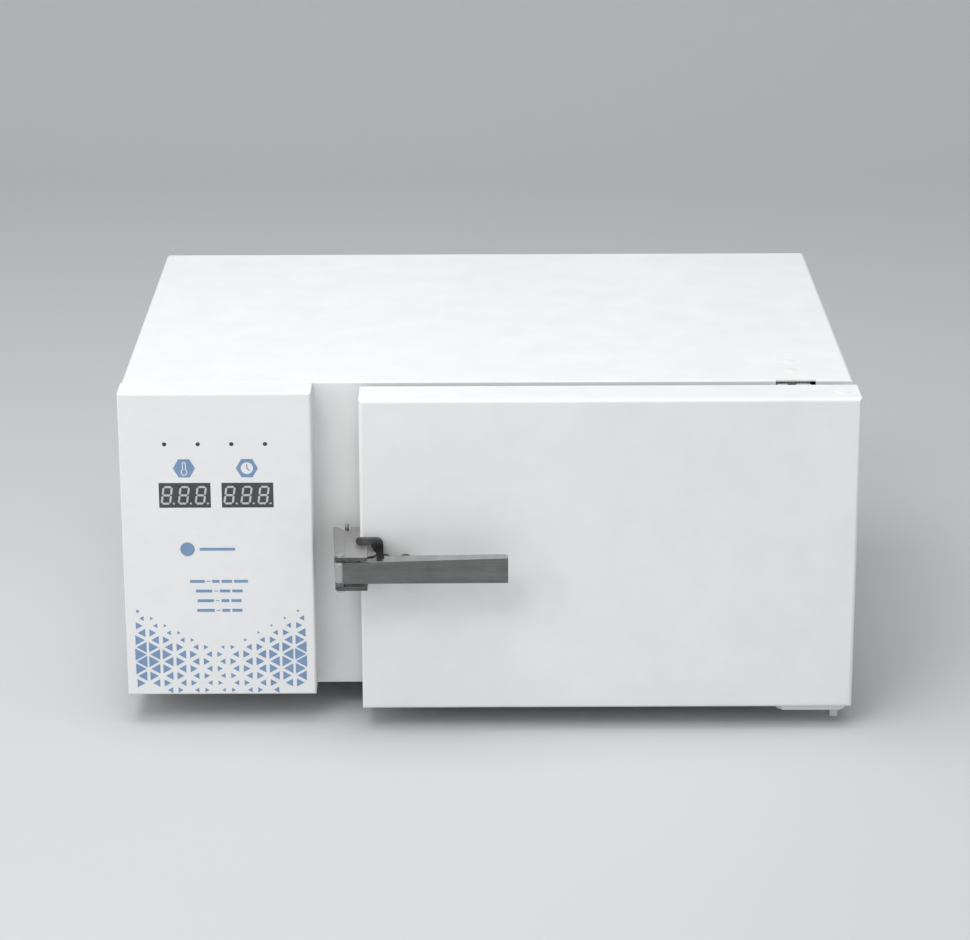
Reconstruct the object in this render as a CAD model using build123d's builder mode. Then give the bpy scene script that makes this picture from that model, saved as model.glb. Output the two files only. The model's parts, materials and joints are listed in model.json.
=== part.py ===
from build123d import *
from math import cos, radians, sin, sqrt
import os

# Dry heat sterilizer: a bench-top steel cabinet with an insulated stainless chamber behind a side-hung door,
# a control housing on the left and a lever latch. Millimetres, X to the right, Y to the back, Z up.
# The origin is the middle of the bounding box at the height that the feet stand on.

os.makedirs("parts", exist_ok=True)

# Cabinet
cabinet_width = 536.0
cabinet_depth = 375.0
cabinet_height = 236.0
cover_sheet = 1.2
cover_bend = 3.0
frame_sheet = 1.5
frame_edge = 1.2
frame_return = 10.0
pan_flange = 18.0
foot_height = 22.0
foot_radius = 10.0
foot_taper = 1.5
front_foot_inset = 44.0
side_foot_inset = 15.0
rear_foot_inset = 40.0
vent_length = 60.0
vent_width = 3.0
vent_pitch = 8.0
vent_count = 9
vent_drop = 70.0
cover_screw_inset = 60.0
cover_screw_lift = 11.0
rear_screw_inset = 12.0
rear_screw_lift = 26.0

# Screws
screw_radius = 2.0
screw_play = 0.2
screw_head_radius = 3.5
screw_head_height = 1.6
foot_screw_length = 12.0

# Door
front_strip = 35.0
door_thickness = 35.0
door_gap = 8.0
door_overhang = 1.5
door_top_drop = 1.0
door_bottom_drop = 4.0
door_sheet = 1.2
door_bend = 3.0
inner_pan_sheet = 1.0
inner_pan_flange = 12.0
inner_pan_emboss = 2.0
pan_clearance = 0.2
emboss_margin = 6.0
door_screw_inset = 40.0
door_insulation_gap = 7.0
door_insulation_inset = 9.0

# Hinges
hinge_inset = 12.0
hinge_pin_radius = 3.0
hinge_play = 0.08
arm_thickness = 3.0
arm_tongue_width = 25.0
arm_tongue_offset = 45.5
arm_front_left = 42.0
arm_reach = 8.0
arm_chamfer = 4.0
arm_inner_length = 60.0
arm_clearance = 0.8
arm_slot_width = 6.5
arm_slot_rear = 12.0
arm_slot_front = 5.0
notch_extra = 3.5
upper_arm_drop = 2.7
lower_arm_gap = 3.0
pad_radius = 6.0
pad_rows = (26.0, 50.0)
hinge_head_radius = 5.5
hinge_head_height = 6.0
pin_cap_radius = 5.0
pin_cap_height = 0.5
washer_radius = 6.0
washer_gap = 0.3
nut_plate_thickness = 4.0

# Control housing
housing_width = 140.0
housing_depth = 28.0
housing_lift = 2.0
housing_bend = 1.2
overlay_thickness = 0.3
print_thickness = 0.12

# What the panel carries, from the housing's left side and the cabinet's top
first_lamp_gap = 33.2
lamp_pitch = 24.4
lamp_drop = 38.3
lamp_count = 4
lamp_radius = 1.5
icon_drop = 56.6
icon_radius = 8.05
display_left_centre = 47.0
display_pitch = 45.8
display_drop = 77.4
display_width = 37.6
display_height = 19.0
display_clearance = 0.1
display_recess = 0.2
digit_height = 14.2
digit_width = 7.6
digit_pitch = 12.4
digit_slant = 8.0
segment_width = 1.5
segment_gap = 0.3
button_across = 47.6
button_drop = 119.1
button_radius = 4.9
button_clearance = 0.3
button_flange = 1.5
button_proud = 0.6
button_travel = 1.0
label_across = 56.5
label_width = 26.0
first_row_height = 91.8
row_pitch = 7.6
row_words = ((10.8, 5.4, 7.7, 10.2), (12.0, 7.6, 7.6), (12.0, 5.8, 7.5), (13.0, 5.8, 7.5))
word_gap = 1.5
dash_width = 2.6
dash_height = 0.6
bar_height = 2.2
board_setback = 10.0
board_thickness = 1.6
board_side_gap = 14.0
board_height = 104.0
board_drop = 28.0
standoff_radius = 3.0
standoff_inset = 5.0
standoff_nut_height = 2.0
chip_width = 16.0
chip_height = 2.5
controller_inset = 16.0
controller_drop = 80.0
driver_inset = 21.0
driver_drop = 60.0
plug_width = 24.0
plug_depth = 8.0
plug_height = 8.0
plug_inset = 36.0
plug_drop = 58.0
loom_radius = 2.2
loom_hole_radius = 8.0

# Pattern of triangles over the foot of the panel
triangle_side = 11.4
pattern_edge_height = 79.0
pattern_middle_height = 43.0
pattern_focus = 32.0
pattern_largest = 0.92
pattern_smallest = 0.16

# Chamber
chamber_side_margin = 36.25
chamber_level_margin = 39.5
chamber_rear_room = 83.5
chamber_wall = 1.0
chamber_flange = 14.0
insulation_thickness = 29.0
seal_width = 12.0
seal_inset = 3.0
seal_clearance = 0.3
heater_radius = 3.5
heater_hole_play = 0.3
heater_standoff = 12.0
heater_turn_share = 0.4
heater_side_gap = 32.0
heater_front_gap = 14.0
heater_rear_gap = 20.0
heater_terminal = 16.0
rack_sheet = 1.0
rack_ledge = 12.0
rack_front_gap = 10.0
rack_rear_gap = 8.0
rack_bottom = 26.0
rack_top_drop = 40.0
tray_margin = 1.5
tray_sheet = 1.0
tray_height = 16.0
tray_front_gap = 14.0
tray_rear_gap = 14.0
tray_hole_radius = 3.5
tray_hole_rows = 8
lower_tray_lift = 42.0
upper_tray_drop = 62.0
sensor_height = 78.0
sensor_radius = 2.5
cutout_radius = 8.0

# Latch on the door's left edge
latch_reach = 69.0
latch_plate = 3.0
latch_height = 131.3
latch_flange_gap = 19.7
latch_left = 21.0
latch_rear_setback = 1.5
latch_overlap = 6.0
pivot_inset = 13.5
pivot_setback = 3.8
pivot_radius = 2.0
pivot_play = 0.08
lever_length = 121.0
lever_sheet = 1.5
lever_root_height = 15.9
lever_tip_height = 18.8
lever_root_depth = 13.0
lever_tip_depth = 9.0
lever_clearance = 0.5
barrel_radius = 3.8
bracket_standoff = 4.0
bracket_plate = 3.0
strike_radius = 1.5
strike_inset = 10.7
strike_setback = 12.5

# Mains fittings at the back
inlet_across = 60.0
inlet_height = 60.0
inlet_flange = 2.5
inlet_width = 27.6
inlet_body_height = 20.0
inlet_recess_width = 24.6
inlet_recess_height = 16.8
inlet_recess_depth = 16.5
inlet_recess_chamfer = 4.0
inlet_flange_width = 50.0
inlet_flange_height = 26.0
inlet_flange_corner = 4.0
inlet_screw_offset = 20.0
inlet_depth = 19.0
blade_pitch = 7.0
blade_drop = 1.4
earth_lift = 2.6
blade_width = 2.0
blade_height = 4.0
blade_setback = 2.5
tab_width = 6.0
tab_length = 8.0
tab_sheet = 0.8
switch_across = 110.0
switch_bezel = 2.0
switch_width = 13.0
switch_body_height = 19.2
switch_bezel_side = 1.0
switch_bezel_level = 1.4
switch_bezel_edge = 0.6
switch_depth = 16.0
switch_well_depth = 8.0
switch_tab_pitch = 10.0
switch_tab_length = 9.0
switch_tab_width = 4.8
rocker_side_play = 0.4
rocker_end_play = 0.8
trunnion_radius = 1.0
trunnion_play = 0.08
trunnion_reach = 5.9
trunnion_end_play = 0.3
rocker_dip = 0.9
rocker_side_depth = 2.6
rocker_keel_depth = 5.0
rocker_tilt = 8.0
rocker_half = 7.6
rocker_lip = 3.2
rocker_axis_depth = 1.0
rocker_width = 10.0

# The frame that all of them share
rear_reach = rocker_half * sin(radians(rocker_tilt)) + rocker_lip * cos(radians(rocker_tilt)) - rocker_axis_depth
left = -(cabinet_width + door_overhang) / 2
right = left + cabinet_width
front = -(cabinet_depth + rear_reach - door_gap - latch_reach) / 2
back = front + cabinet_depth
bottom = foot_height
top = bottom + cabinet_height
middle = (left + right) / 2
middle_height = (bottom + top) / 2

door_right = right + door_overhang
door_left = left + housing_width + front_strip
door_rear = front - door_gap
door_front = door_rear - door_thickness
door_top = top - door_top_drop
door_bottom = bottom - door_bottom_drop
door_middle = (door_left + door_right) / 2
door_middle_height = (door_top + door_bottom) / 2

hinge_x = door_right - hinge_inset
hinge_y = door_rear - door_thickness / 2
tongue_left = hinge_x - arm_tongue_offset
tongue_right = tongue_left + arm_tongue_width
tongue_middle = (tongue_left + tongue_right) / 2
upper_arm_bottom = door_top - upper_arm_drop - arm_thickness
upper_arm_top = door_top - upper_arm_drop
lower_arm_top = door_bottom - lower_arm_gap
lower_arm_bottom = lower_arm_top - arm_thickness

panel_front = front - housing_depth
overlay_front = panel_front - overlay_thickness
housing_right = left + housing_width
housing_middle = left + housing_width / 2
housing_bottom = bottom + housing_lift
board_front = overlay_front + board_setback
display_centres = [(left + display_left_centre + n * display_pitch, top - display_drop) for n in range(2)]
icon_centres = [(x, top - icon_drop) for x, z in display_centres]
button_x = left + button_across
button_z = top - button_drop
lamp_places = [(left + first_lamp_gap + n * lamp_pitch, top - lamp_drop) for n in range(lamp_count)]

board_left = left + board_side_gap
board_right = housing_right - board_side_gap
board_top = top - board_drop
board_bottom = board_top - board_height
board_back = board_front + board_thickness
loom_x = board_right - plug_inset
loom_z = board_top - plug_drop

chamber_left = door_left + chamber_side_margin
chamber_right = door_right - chamber_side_margin
chamber_floor = door_bottom + chamber_level_margin
chamber_roof = door_top - chamber_level_margin
chamber_front = front + frame_sheet
chamber_back = back - chamber_rear_room
insulation_left = chamber_left - chamber_wall - insulation_thickness
insulation_right = chamber_right + chamber_wall + insulation_thickness
insulation_bottom = chamber_floor - chamber_wall - insulation_thickness
insulation_top = chamber_roof + chamber_wall + insulation_thickness
insulation_back = chamber_back + chamber_wall + insulation_thickness
bay_middle = (left + insulation_left) / 2
bay_floor = bottom + cover_sheet
inner_back = back - cover_sheet

inlet_x = left + inlet_across
inlet_z = bottom + inlet_height
switch_x = left + switch_across
rocker_y = back - rocker_axis_depth


def block(x, y, z, mode=Mode.ADD):
    """A box between a low and a high value along X, Y and Z."""
    with Locations((sum(x) / 2, sum(y) / 2, sum(z) / 2)):
        Box(x[1] - x[0], y[1] - y[0], z[1] - z[0], mode=mode)


def facing_front(y):
    """A plane at depth y whose sketches have X to the right and Z up, and whose extrusions go to the front."""
    return Plane.XZ.offset(-y)


def rod(radius, start, length, direction=(0, 0, 1), mode=Mode.ADD):
    """A round bar from start along direction."""
    with BuildSketch(Plane(start, z_dir=direction)) as section:
        Circle(radius)
    extrude(section.sketch, amount=length, mode=mode)


def slab(points, z, thickness, mode=Mode.ADD):
    """A plate whose plan is a polygon, from height z upwards."""
    with BuildSketch(Plane.XY.offset(z)) as plan:
        Polygon(*points, align=None)
    extrude(plan.sketch, amount=thickness, mode=mode)


def upright(points, y, thickness, mode=Mode.ADD):
    """A plate whose front view is a polygon, from depth y towards the front."""
    with BuildSketch(facing_front(y)) as outline:
        Polygon(*points, align=None)
    extrude(outline.sketch, amount=thickness, mode=mode)


def screw(seat, direction, length, countersunk=False):
    """A screw with its seat on a surface, its head outwards along direction and its shank the other way."""
    rod(screw_radius, seat, -length, direction)
    if countersunk:
        with Locations(Plane(seat, z_dir=direction).offset(-door_sheet / 2)):
            Cone(screw_radius, screw_head_radius, door_sheet)
    else:
        rod(screw_head_radius, seat, screw_head_height, direction)


def countersink(seat, direction):
    """Cuts the seat of a countersunk screw into sheet metal, with play around the screw."""
    with Locations(Plane(seat, z_dir=direction).offset(-door_sheet / 2)):
        Cone(screw_radius + screw_play, screw_head_radius + screw_play, door_sheet, mode=Mode.SUBTRACT)


def finish(piece, label):
    """Labels a finished piece and writes its file."""
    piece.part.label = label
    export_step(piece.part, f"parts/{label}.step")


# Cabinet shell: a folded cover over a base pan, with a front frame and a back panel

foot_places = {
    "front_left_foot": (left + side_foot_inset, front + front_foot_inset),
    "front_right_foot": (right - side_foot_inset, front + front_foot_inset),
    "rear_left_foot": (left + side_foot_inset, back - rear_foot_inset),
    "rear_right_foot": (right - side_foot_inset, back - rear_foot_inset),
}
cover_screw_rows = (front + cover_screw_inset, (front + back) / 2, back - cover_screw_inset)
cover_screw_height = bottom + cover_screw_lift
cover_screw_places = [((left, y, cover_screw_height), (-1, 0, 0)) for y in cover_screw_rows]
cover_screw_places += [((right, y, cover_screw_height), (1, 0, 0)) for y in cover_screw_rows]

with BuildPart() as outer_cover:
    with BuildSketch(facing_front(back)) as outline:
        with Locations((middle, middle_height)):
            Rectangle(cabinet_width, cabinet_height)
        fillet(outline.vertices().group_by(Axis.Y)[-1], cover_bend)
    extrude(amount=cabinet_depth - frame_sheet)
    with BuildSketch(facing_front(back)) as hollow:
        with Locations((middle, middle_height - cover_sheet / 2)):
            Rectangle(cabinet_width - 2 * cover_sheet, cabinet_height - cover_sheet)
        fillet(hollow.vertices().group_by(Axis.Y)[-1], cover_bend - cover_sheet)
    extrude(amount=cabinet_depth - frame_sheet, mode=Mode.SUBTRACT)
    for seat, direction in cover_screw_places:
        countersink(seat, direction)
finish(outer_cover, "outer_cover")

return_top = top - cover_sheet

with BuildPart() as front_frame:
    with BuildSketch(facing_front(chamber_front)) as outline:
        with Locations((middle, middle_height)):
            Rectangle(cabinet_width, cabinet_height)
        fillet(outline.vertices().group_by(Axis.Y)[-1], cover_bend)
    extrude(amount=frame_sheet)
    fillet(front_frame.faces().sort_by(Axis.Y)[0].edges(), frame_edge)
    block(
        (left + cover_bend, right - cover_bend),
        (chamber_front - frame_sheet / 4, chamber_front + frame_return),
        (return_top - frame_sheet, return_top),
    )
    block((chamber_left, chamber_right), (front - 1, chamber_front + 1), (chamber_floor, chamber_roof), Mode.SUBTRACT)
    block(
        (tongue_left - arm_clearance, tongue_right + notch_extra),
        (front - 1, chamber_front + frame_return + 1),
        (upper_arm_bottom - arm_clearance, top + 1),
        Mode.SUBTRACT,
    )
    rod(loom_hole_radius, (loom_x, front - 1, loom_z), 4, (0, 1, 0), Mode.SUBTRACT)
finish(front_frame, "front_frame")

lower_screw_places = [(tongue_middle, front + row) for row in pad_rows]

with BuildPart() as base_pan:
    block((left + cover_sheet, right - cover_sheet), (chamber_front, inner_back), (bottom, bottom + pan_flange))
    block(
        (left + 2 * cover_sheet, right - 2 * cover_sheet),
        (chamber_front + cover_sheet, inner_back - cover_sheet),
        (bay_floor, bottom + pan_flange + 1),
        Mode.SUBTRACT,
    )
    for x, y in [*foot_places.values(), *lower_screw_places]:
        rod(screw_radius + screw_play, (x, y, bottom - 1), 4, mode=Mode.SUBTRACT)
    for seat, direction in cover_screw_places:
        rod(screw_radius + screw_play, seat, -6, direction, Mode.SUBTRACT)
    with BuildSketch(Plane.XY.offset(bottom - 1)):
        with Locations((bay_middle, (front + back) / 2)):
            with GridLocations(vent_pitch, 0, vent_count, 1):
                SlotOverall(vent_length, vent_width, rotation=90)
    extrude(amount=cover_sheet + 2, mode=Mode.SUBTRACT)
finish(base_pan, "base_pan")

rear_screw_columns = (left + rear_screw_inset, middle, right - rear_screw_inset)
rear_screw_levels = (bottom + rear_screw_lift, top - rear_screw_inset)
rear_screw_places = [(x, z) for x in rear_screw_columns for z in rear_screw_levels]
inlet_screw_places = [(inlet_x - inlet_screw_offset, inlet_z), (inlet_x + inlet_screw_offset, inlet_z)]

with BuildPart() as back_panel:
    with BuildSketch(facing_front(back)) as outline:
        with Locations((middle, middle_height - cover_sheet / 2)):
            Rectangle(cabinet_width - 2 * cover_sheet, cabinet_height - cover_sheet)
        fillet(outline.vertices().group_by(Axis.Y)[-1], cover_bend - cover_sheet)
    extrude(amount=cover_sheet)
    with BuildSketch(facing_front(back + 1)):
        with Locations((bay_middle, top - vent_drop)):
            with GridLocations(0, vent_pitch, 1, vent_count):
                SlotOverall(vent_length, vent_width)
    extrude(amount=cover_sheet + 2, mode=Mode.SUBTRACT)
    cut = (back - 2 * cover_sheet, back + 1)
    block(
        (inlet_x - inlet_width / 2, inlet_x + inlet_width / 2),
        cut,
        (inlet_z - inlet_body_height / 2, inlet_z + inlet_body_height / 2),
        Mode.SUBTRACT,
    )
    block(
        (switch_x - switch_width / 2, switch_x + switch_width / 2),
        cut,
        (inlet_z - switch_body_height / 2, inlet_z + switch_body_height / 2),
        Mode.SUBTRACT,
    )
    for x, z in rear_screw_places + inlet_screw_places:
        rod(screw_radius + screw_play, (x, back - 3, z), 4, (0, 1, 0), Mode.SUBTRACT)
finish(back_panel, "back_panel")

for name, (x, y) in foot_places.items():
    with BuildPart() as foot:
        with Locations((x, y, foot_height / 2)):
            Cone(foot_radius - foot_taper, foot_radius, foot_height)
        fillet(foot.faces().sort_by(Axis.Z)[0].edges(), foot_taper)
        rod(screw_radius + screw_play, (x, y, foot_height - foot_screw_length), foot_height, mode=Mode.SUBTRACT)
    finish(foot, name)

with BuildPart() as foot_screws:
    for x, y in foot_places.values():
        screw((x, y, bay_floor), (0, 0, 1), cover_sheet + foot_screw_length - 1)
finish(foot_screws, "foot_screws")

with BuildPart() as cover_screws:
    for seat, direction in cover_screw_places:
        screw(seat, direction, 4, countersunk=True)
finish(cover_screws, "cover_screws")

with BuildPart() as rear_screws:
    for x, z in rear_screw_places:
        screw((x, back, z), (0, 1, 0), 5)
    for x, z in inlet_screw_places:
        screw((x, back + inlet_flange, z), (0, 1, 0), inlet_flange + 5)
finish(rear_screws, "rear_screws")

# Chamber: a stainless liner in an insulation jacket, with a seal, heaters, racks and trays

heater_step = (chamber_right - chamber_left - 2 * heater_side_gap) / 3
heater_legs = [chamber_left + heater_side_gap + n * heater_step for n in range(4)]
heater_levels = {"lower_heater": chamber_floor + heater_standoff, "upper_heater": chamber_roof - heater_standoff}
heater_holes = [(x, z) for x in (heater_legs[0], heater_legs[3]) for z in heater_levels.values()]
heater_end = insulation_back + heater_terminal
sensor_place = (door_middle, chamber_floor + sensor_height)

with BuildPart() as chamber_liner:
    block(
        (chamber_left - chamber_wall, chamber_right + chamber_wall),
        (chamber_front, chamber_back + chamber_wall),
        (chamber_floor - chamber_wall, chamber_roof + chamber_wall),
    )
    block(
        (chamber_left - chamber_flange, chamber_right + chamber_flange),
        (chamber_front, chamber_front + chamber_wall),
        (chamber_floor - chamber_flange, chamber_roof + chamber_flange),
    )
    block(
        (chamber_left, chamber_right), (chamber_front - 1, chamber_back), (chamber_floor, chamber_roof), Mode.SUBTRACT
    )
    for x, z in heater_holes:
        rod(heater_radius + heater_hole_play, (x, chamber_back - 1, z), 4, (0, 1, 0), Mode.SUBTRACT)
    x, z = sensor_place
    rod(sensor_radius + heater_hole_play, (x, chamber_back - 1, z), 4, (0, 1, 0), Mode.SUBTRACT)
finish(chamber_liner, "chamber_liner")

cutout_place = (chamber_left - chamber_wall, front + cabinet_depth / 2, (chamber_floor + chamber_roof) / 2)

with BuildPart() as chamber_insulation:
    block(
        (insulation_left, insulation_right),
        (chamber_front + cover_sheet, insulation_back),
        (insulation_bottom, insulation_top),
    )
    block(
        (chamber_left - chamber_wall, chamber_right + chamber_wall),
        (chamber_front, chamber_back + chamber_wall),
        (chamber_floor - chamber_wall, chamber_roof + chamber_wall),
        Mode.SUBTRACT,
    )
    for x, z in [*heater_holes, sensor_place]:
        rod(heater_radius + 2, (x, chamber_back, z), insulation_thickness + 4, (0, 1, 0), Mode.SUBTRACT)
    rod(cutout_radius + 5, cutout_place, insulation_thickness + 1, (-1, 0, 0), Mode.SUBTRACT)
finish(chamber_insulation, "chamber_insulation")

with BuildPart() as chamber_seal:
    with BuildSketch(facing_front(front)) as ring:
        with Locations((door_middle, door_middle_height)):
            inner_width = chamber_right - chamber_left + 2 * seal_inset
            inner_height = chamber_roof - chamber_floor + 2 * seal_inset
            RectangleRounded(inner_width + 2 * seal_width, inner_height + 2 * seal_width, seal_width)
            Rectangle(inner_width, inner_height, mode=Mode.SUBTRACT)
    extrude(amount=door_gap - seal_clearance)
    fillet(chamber_seal.faces().sort_by(Axis.Y)[0].edges(), seal_width / 4)
finish(chamber_seal, "chamber_seal")

for name, level in heater_levels.items():
    near = chamber_front + heater_front_gap
    far = chamber_back - heater_rear_gap
    with BuildPart() as heater:
        with BuildLine() as path:
            FilletPolyline(
                (heater_legs[0], heater_end, level),
                (heater_legs[0], near, level),
                (heater_legs[1], near, level),
                (heater_legs[1], far, level),
                (heater_legs[2], far, level),
                (heater_legs[2], near, level),
                (heater_legs[3], near, level),
                (heater_legs[3], heater_end, level),
                radius=heater_step * heater_turn_share,
            )
        with BuildSketch(Plane((heater_legs[0], heater_end, level), z_dir=(0, -1, 0))):
            Circle(heater_radius)
        sweep()
    finish(heater, name)

tray_levels = {"lower_tray": chamber_floor + lower_tray_lift, "upper_tray": chamber_roof - upper_tray_drop}

for name, wall, side in (("left_tray_rack", chamber_left, 1), ("right_tray_rack", chamber_right, -1)):
    rack_depth = (chamber_front + rack_front_gap, chamber_back - rack_rear_gap)
    with BuildPart() as rack:
        block(
            sorted((wall, wall + side * rack_sheet)),
            rack_depth,
            (chamber_floor + rack_bottom, chamber_roof - rack_top_drop),
        )
        for ledge_top in tray_levels.values():
            block(sorted((wall, wall + side * rack_ledge)), rack_depth, (ledge_top - rack_sheet, ledge_top))
            block(
                sorted((wall + side * (rack_ledge - rack_sheet), wall + side * rack_ledge)),
                rack_depth,
                (ledge_top - 4 * rack_sheet, ledge_top),
            )
    finish(rack, name)

tray_side = (chamber_right - chamber_left) / 2 - rack_sheet - tray_margin
tray_depth = (chamber_front + tray_front_gap, chamber_back - tray_rear_gap)
for name, tray_bottom in tray_levels.items():
    tray_top = tray_bottom + tray_height
    with BuildPart() as tray:
        block((door_middle - tray_side, door_middle + tray_side), tray_depth, (tray_bottom, tray_top))
        block(
            (door_middle - tray_side + tray_sheet, door_middle + tray_side - tray_sheet),
            (tray_depth[0] + tray_sheet, tray_depth[1] - tray_sheet),
            (tray_bottom + tray_sheet, tray_top + 1),
            Mode.SUBTRACT,
        )
        with BuildSketch(Plane.XY.offset(tray_bottom - 1)):
            with Locations((door_middle, sum(tray_depth) / 2)):
                with GridLocations(
                    (tray_side - rack_ledge) * 2 / tray_hole_rows,
                    (tray_depth[1] - tray_depth[0]) / (tray_hole_rows + 1),
                    tray_hole_rows,
                    tray_hole_rows,
                ):
                    Circle(tray_hole_radius)
        extrude(amount=tray_sheet + 2, mode=Mode.SUBTRACT)
        with BuildSketch(facing_front(tray_depth[0] + 2)):
            with Locations((door_middle, tray_bottom + tray_height * 0.6)):
                SlotOverall(tray_side * 0.6, tray_height * 0.35)
        extrude(amount=4, mode=Mode.SUBTRACT)
    finish(tray, name)

with BuildPart() as temperature_sensor:
    x, z = sensor_place
    rod(sensor_radius, (x, chamber_back - 12, z), insulation_thickness + 22, (0, 1, 0))
    fillet(temperature_sensor.faces().sort_by(Axis.Y)[0].edges(), sensor_radius * 0.8)
    rod(sensor_radius * 2, (x, insulation_back + 2, z), 6, (0, 1, 0))
finish(temperature_sensor, "temperature_sensor")

with BuildPart() as thermal_cutout:
    rod(cutout_radius, cutout_place, 10, (-1, 0, 0))
    x, y, z = cutout_place
    for terminal in (-4, 4):
        block((x - 18, x - 10), (y + terminal - 1, y + terminal + 1), (z - 3, z + 3))
finish(thermal_cutout, "thermal_cutout")

# Control housing: a box over the left of the front frame, with its panel film, print and electronics

with BuildPart() as control_housing:
    block((left, housing_right), (panel_front, front), (housing_bottom, top))
    fillet(control_housing.faces().sort_by(Axis.Y)[0].edges(), housing_bend)
    block(
        (left + cover_sheet, housing_right - cover_sheet),
        (panel_front + cover_sheet, front + 1),
        (housing_bottom + cover_sheet, top - cover_sheet),
        Mode.SUBTRACT,
    )
    with BuildSketch(facing_front(front)):
        with Locations(*display_centres):
            Rectangle(display_width + 2 * display_clearance, display_height + 2 * display_clearance)
        with Locations(*lamp_places):
            Circle(lamp_radius + display_clearance)
        with Locations((button_x, button_z)):
            Circle(button_radius + button_clearance)
    extrude(amount=housing_depth + 1, mode=Mode.SUBTRACT)
finish(control_housing, "control_housing")

with BuildPart() as panel_overlay:
    with BuildSketch(facing_front(panel_front)):
        with Locations((housing_middle, (housing_bottom + top) / 2)):
            Rectangle(housing_width - 2 * housing_bend, top - housing_bottom - 2 * housing_bend)
        with Locations(*display_centres):
            Rectangle(
                display_width + 2 * display_clearance, display_height + 2 * display_clearance, mode=Mode.SUBTRACT
            )
        with Locations(*lamp_places):
            Circle(lamp_radius + display_clearance, mode=Mode.SUBTRACT)
        with Locations((button_x, button_z)):
            Circle(button_radius + button_clearance, mode=Mode.SUBTRACT)
    extrude(amount=overlay_thickness)
finish(panel_overlay, "panel_overlay")

thermometer_width = icon_radius * 0.36
thermometer_length = icon_radius * 1.2
clock_radius = icon_radius * 0.56
line_width = icon_radius * 0.09

with BuildPart() as panel_print:
    with BuildSketch(facing_front(overlay_front)):
        with Locations(*icon_centres):
            RegularPolygon(icon_radius, 6)
        x, z = icon_centres[0]
        bulb = (x, z - thermometer_length * 0.32)
        with Locations((x, z)):
            SlotOverall(thermometer_length, thermometer_width, rotation=90, mode=Mode.SUBTRACT)
        with Locations(bulb):
            Circle(thermometer_width * 0.85, mode=Mode.SUBTRACT)
        with Locations((x, z)):
            SlotOverall(thermometer_length - 2 * line_width, thermometer_width - 2 * line_width, rotation=90)
        with Locations(bulb):
            Circle(thermometer_width * 0.85 - line_width)
        x, z = icon_centres[1]
        with Locations((x, z)):
            Circle(clock_radius, mode=Mode.SUBTRACT)
        with Locations((x, z + clock_radius * 0.32)):
            Rectangle(line_width, clock_radius * 0.75)
        with Locations((x + clock_radius * 0.2, z - clock_radius * 0.2)):
            Rectangle(line_width, clock_radius * 0.6, rotation=45)
        with Locations((left + label_across + label_width / 2, button_z)):
            Rectangle(label_width, bar_height)
        for n, words in enumerate(row_words):
            level = bottom + first_row_height - n * row_pitch
            start = housing_middle - (sum(words) + dash_width + word_gap * len(words)) / 2
            for place, width in enumerate(words):
                with Locations((start + width / 2, level)):
                    Rectangle(width, bar_height)
                start += width + word_gap
                if place == 0:
                    with Locations((start + dash_width / 2, level)):
                        Rectangle(dash_width, dash_height)
                    start += dash_width + word_gap
    extrude(amount=print_thickness)
finish(panel_print, "panel_print")

triangle_depth = triangle_side * sqrt(3) / 2
column_count = int((housing_width - 2 * housing_bend) / triangle_depth)
pattern_left = housing_middle - column_count * triangle_depth / 2
pattern_bottom = housing_bottom + housing_bend

with BuildPart() as triangle_pattern:
    with BuildSketch(facing_front(overlay_front)):
        for column in range(column_count):
            for row in range(1, int(pattern_edge_height / triangle_side * 2)):
                points_right = (column + row) % 2 == 0
                third = 1 / 3 if points_right else 2 / 3
                x = pattern_left + (column + third) * triangle_depth
                z = bottom + row * triangle_side / 2
                edge_share = abs(x - housing_middle) / (housing_width / 2)
                limit = pattern_middle_height + (pattern_edge_height - pattern_middle_height) * edge_share ** 1.5
                lift = z - bottom - pattern_focus
                reach = (limit - pattern_focus) if lift > 0 else pattern_focus * 1.3
                fade = 1 - (abs(lift) / reach) ** 1.4 if abs(lift) < reach else 0
                scale = pattern_smallest + (pattern_largest - pattern_smallest) * (0.3 + 0.7 * edge_share) * fade
                half = scale * triangle_side / 2
                tip = scale * triangle_depth * (2 / 3 if points_right else -2 / 3)
                if fade > 0 and z - half > pattern_bottom:
                    Polygon((x - tip / 2, z - half), (x + tip, z), (x - tip / 2, z + half), align=None)
    extrude(amount=print_thickness)
finish(triangle_pattern, "triangle_pattern")

standoff_columns = (board_left + standoff_inset, board_right - standoff_inset)
standoff_levels = (board_bottom + standoff_inset, board_top - standoff_inset)
standoff_places = [(x, z) for x in standoff_columns for z in standoff_levels]
chip_places = [
    (board_left + controller_inset, board_top - controller_drop),
    (board_right - driver_inset, board_top - driver_drop),
]

with BuildPart() as control_board:
    block((board_left, board_right), (board_front, board_back), (board_bottom, board_top))
    for x, z in chip_places:
        block(
            (x - chip_width / 2, x + chip_width / 2),
            (board_back, board_back + chip_height),
            (z - chip_width / 2, z + chip_width / 2),
        )
    block(
        (loom_x - plug_width / 2, loom_x + plug_width / 2),
        (board_back, board_back + plug_depth),
        (loom_z - plug_height / 2, loom_z + plug_height / 2),
    )
finish(control_board, "control_board")

with BuildPart() as board_standoffs:
    for x, z in standoff_places:
        start = panel_front + cover_sheet
        rod(standoff_radius, (x, start, z), board_front - start, (0, 1, 0))
        rod(standoff_radius, (x, board_back, z), standoff_nut_height, (0, 1, 0))
finish(board_standoffs, "board_standoffs")

for name, (x, z) in zip(("temperature_display", "time_display"), display_centres):
    with BuildPart() as display:
        block(
            (x - display_width / 2, x + display_width / 2),
            (overlay_front + display_recess, board_front),
            (z - display_height / 2, z + display_height / 2),
        )
    finish(display, name)

lean = sin(radians(digit_slant)) / cos(radians(digit_slant))
half_digit = digit_width / 2 - segment_width / 2
half_height = digit_height / 2 - segment_width / 2

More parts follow.
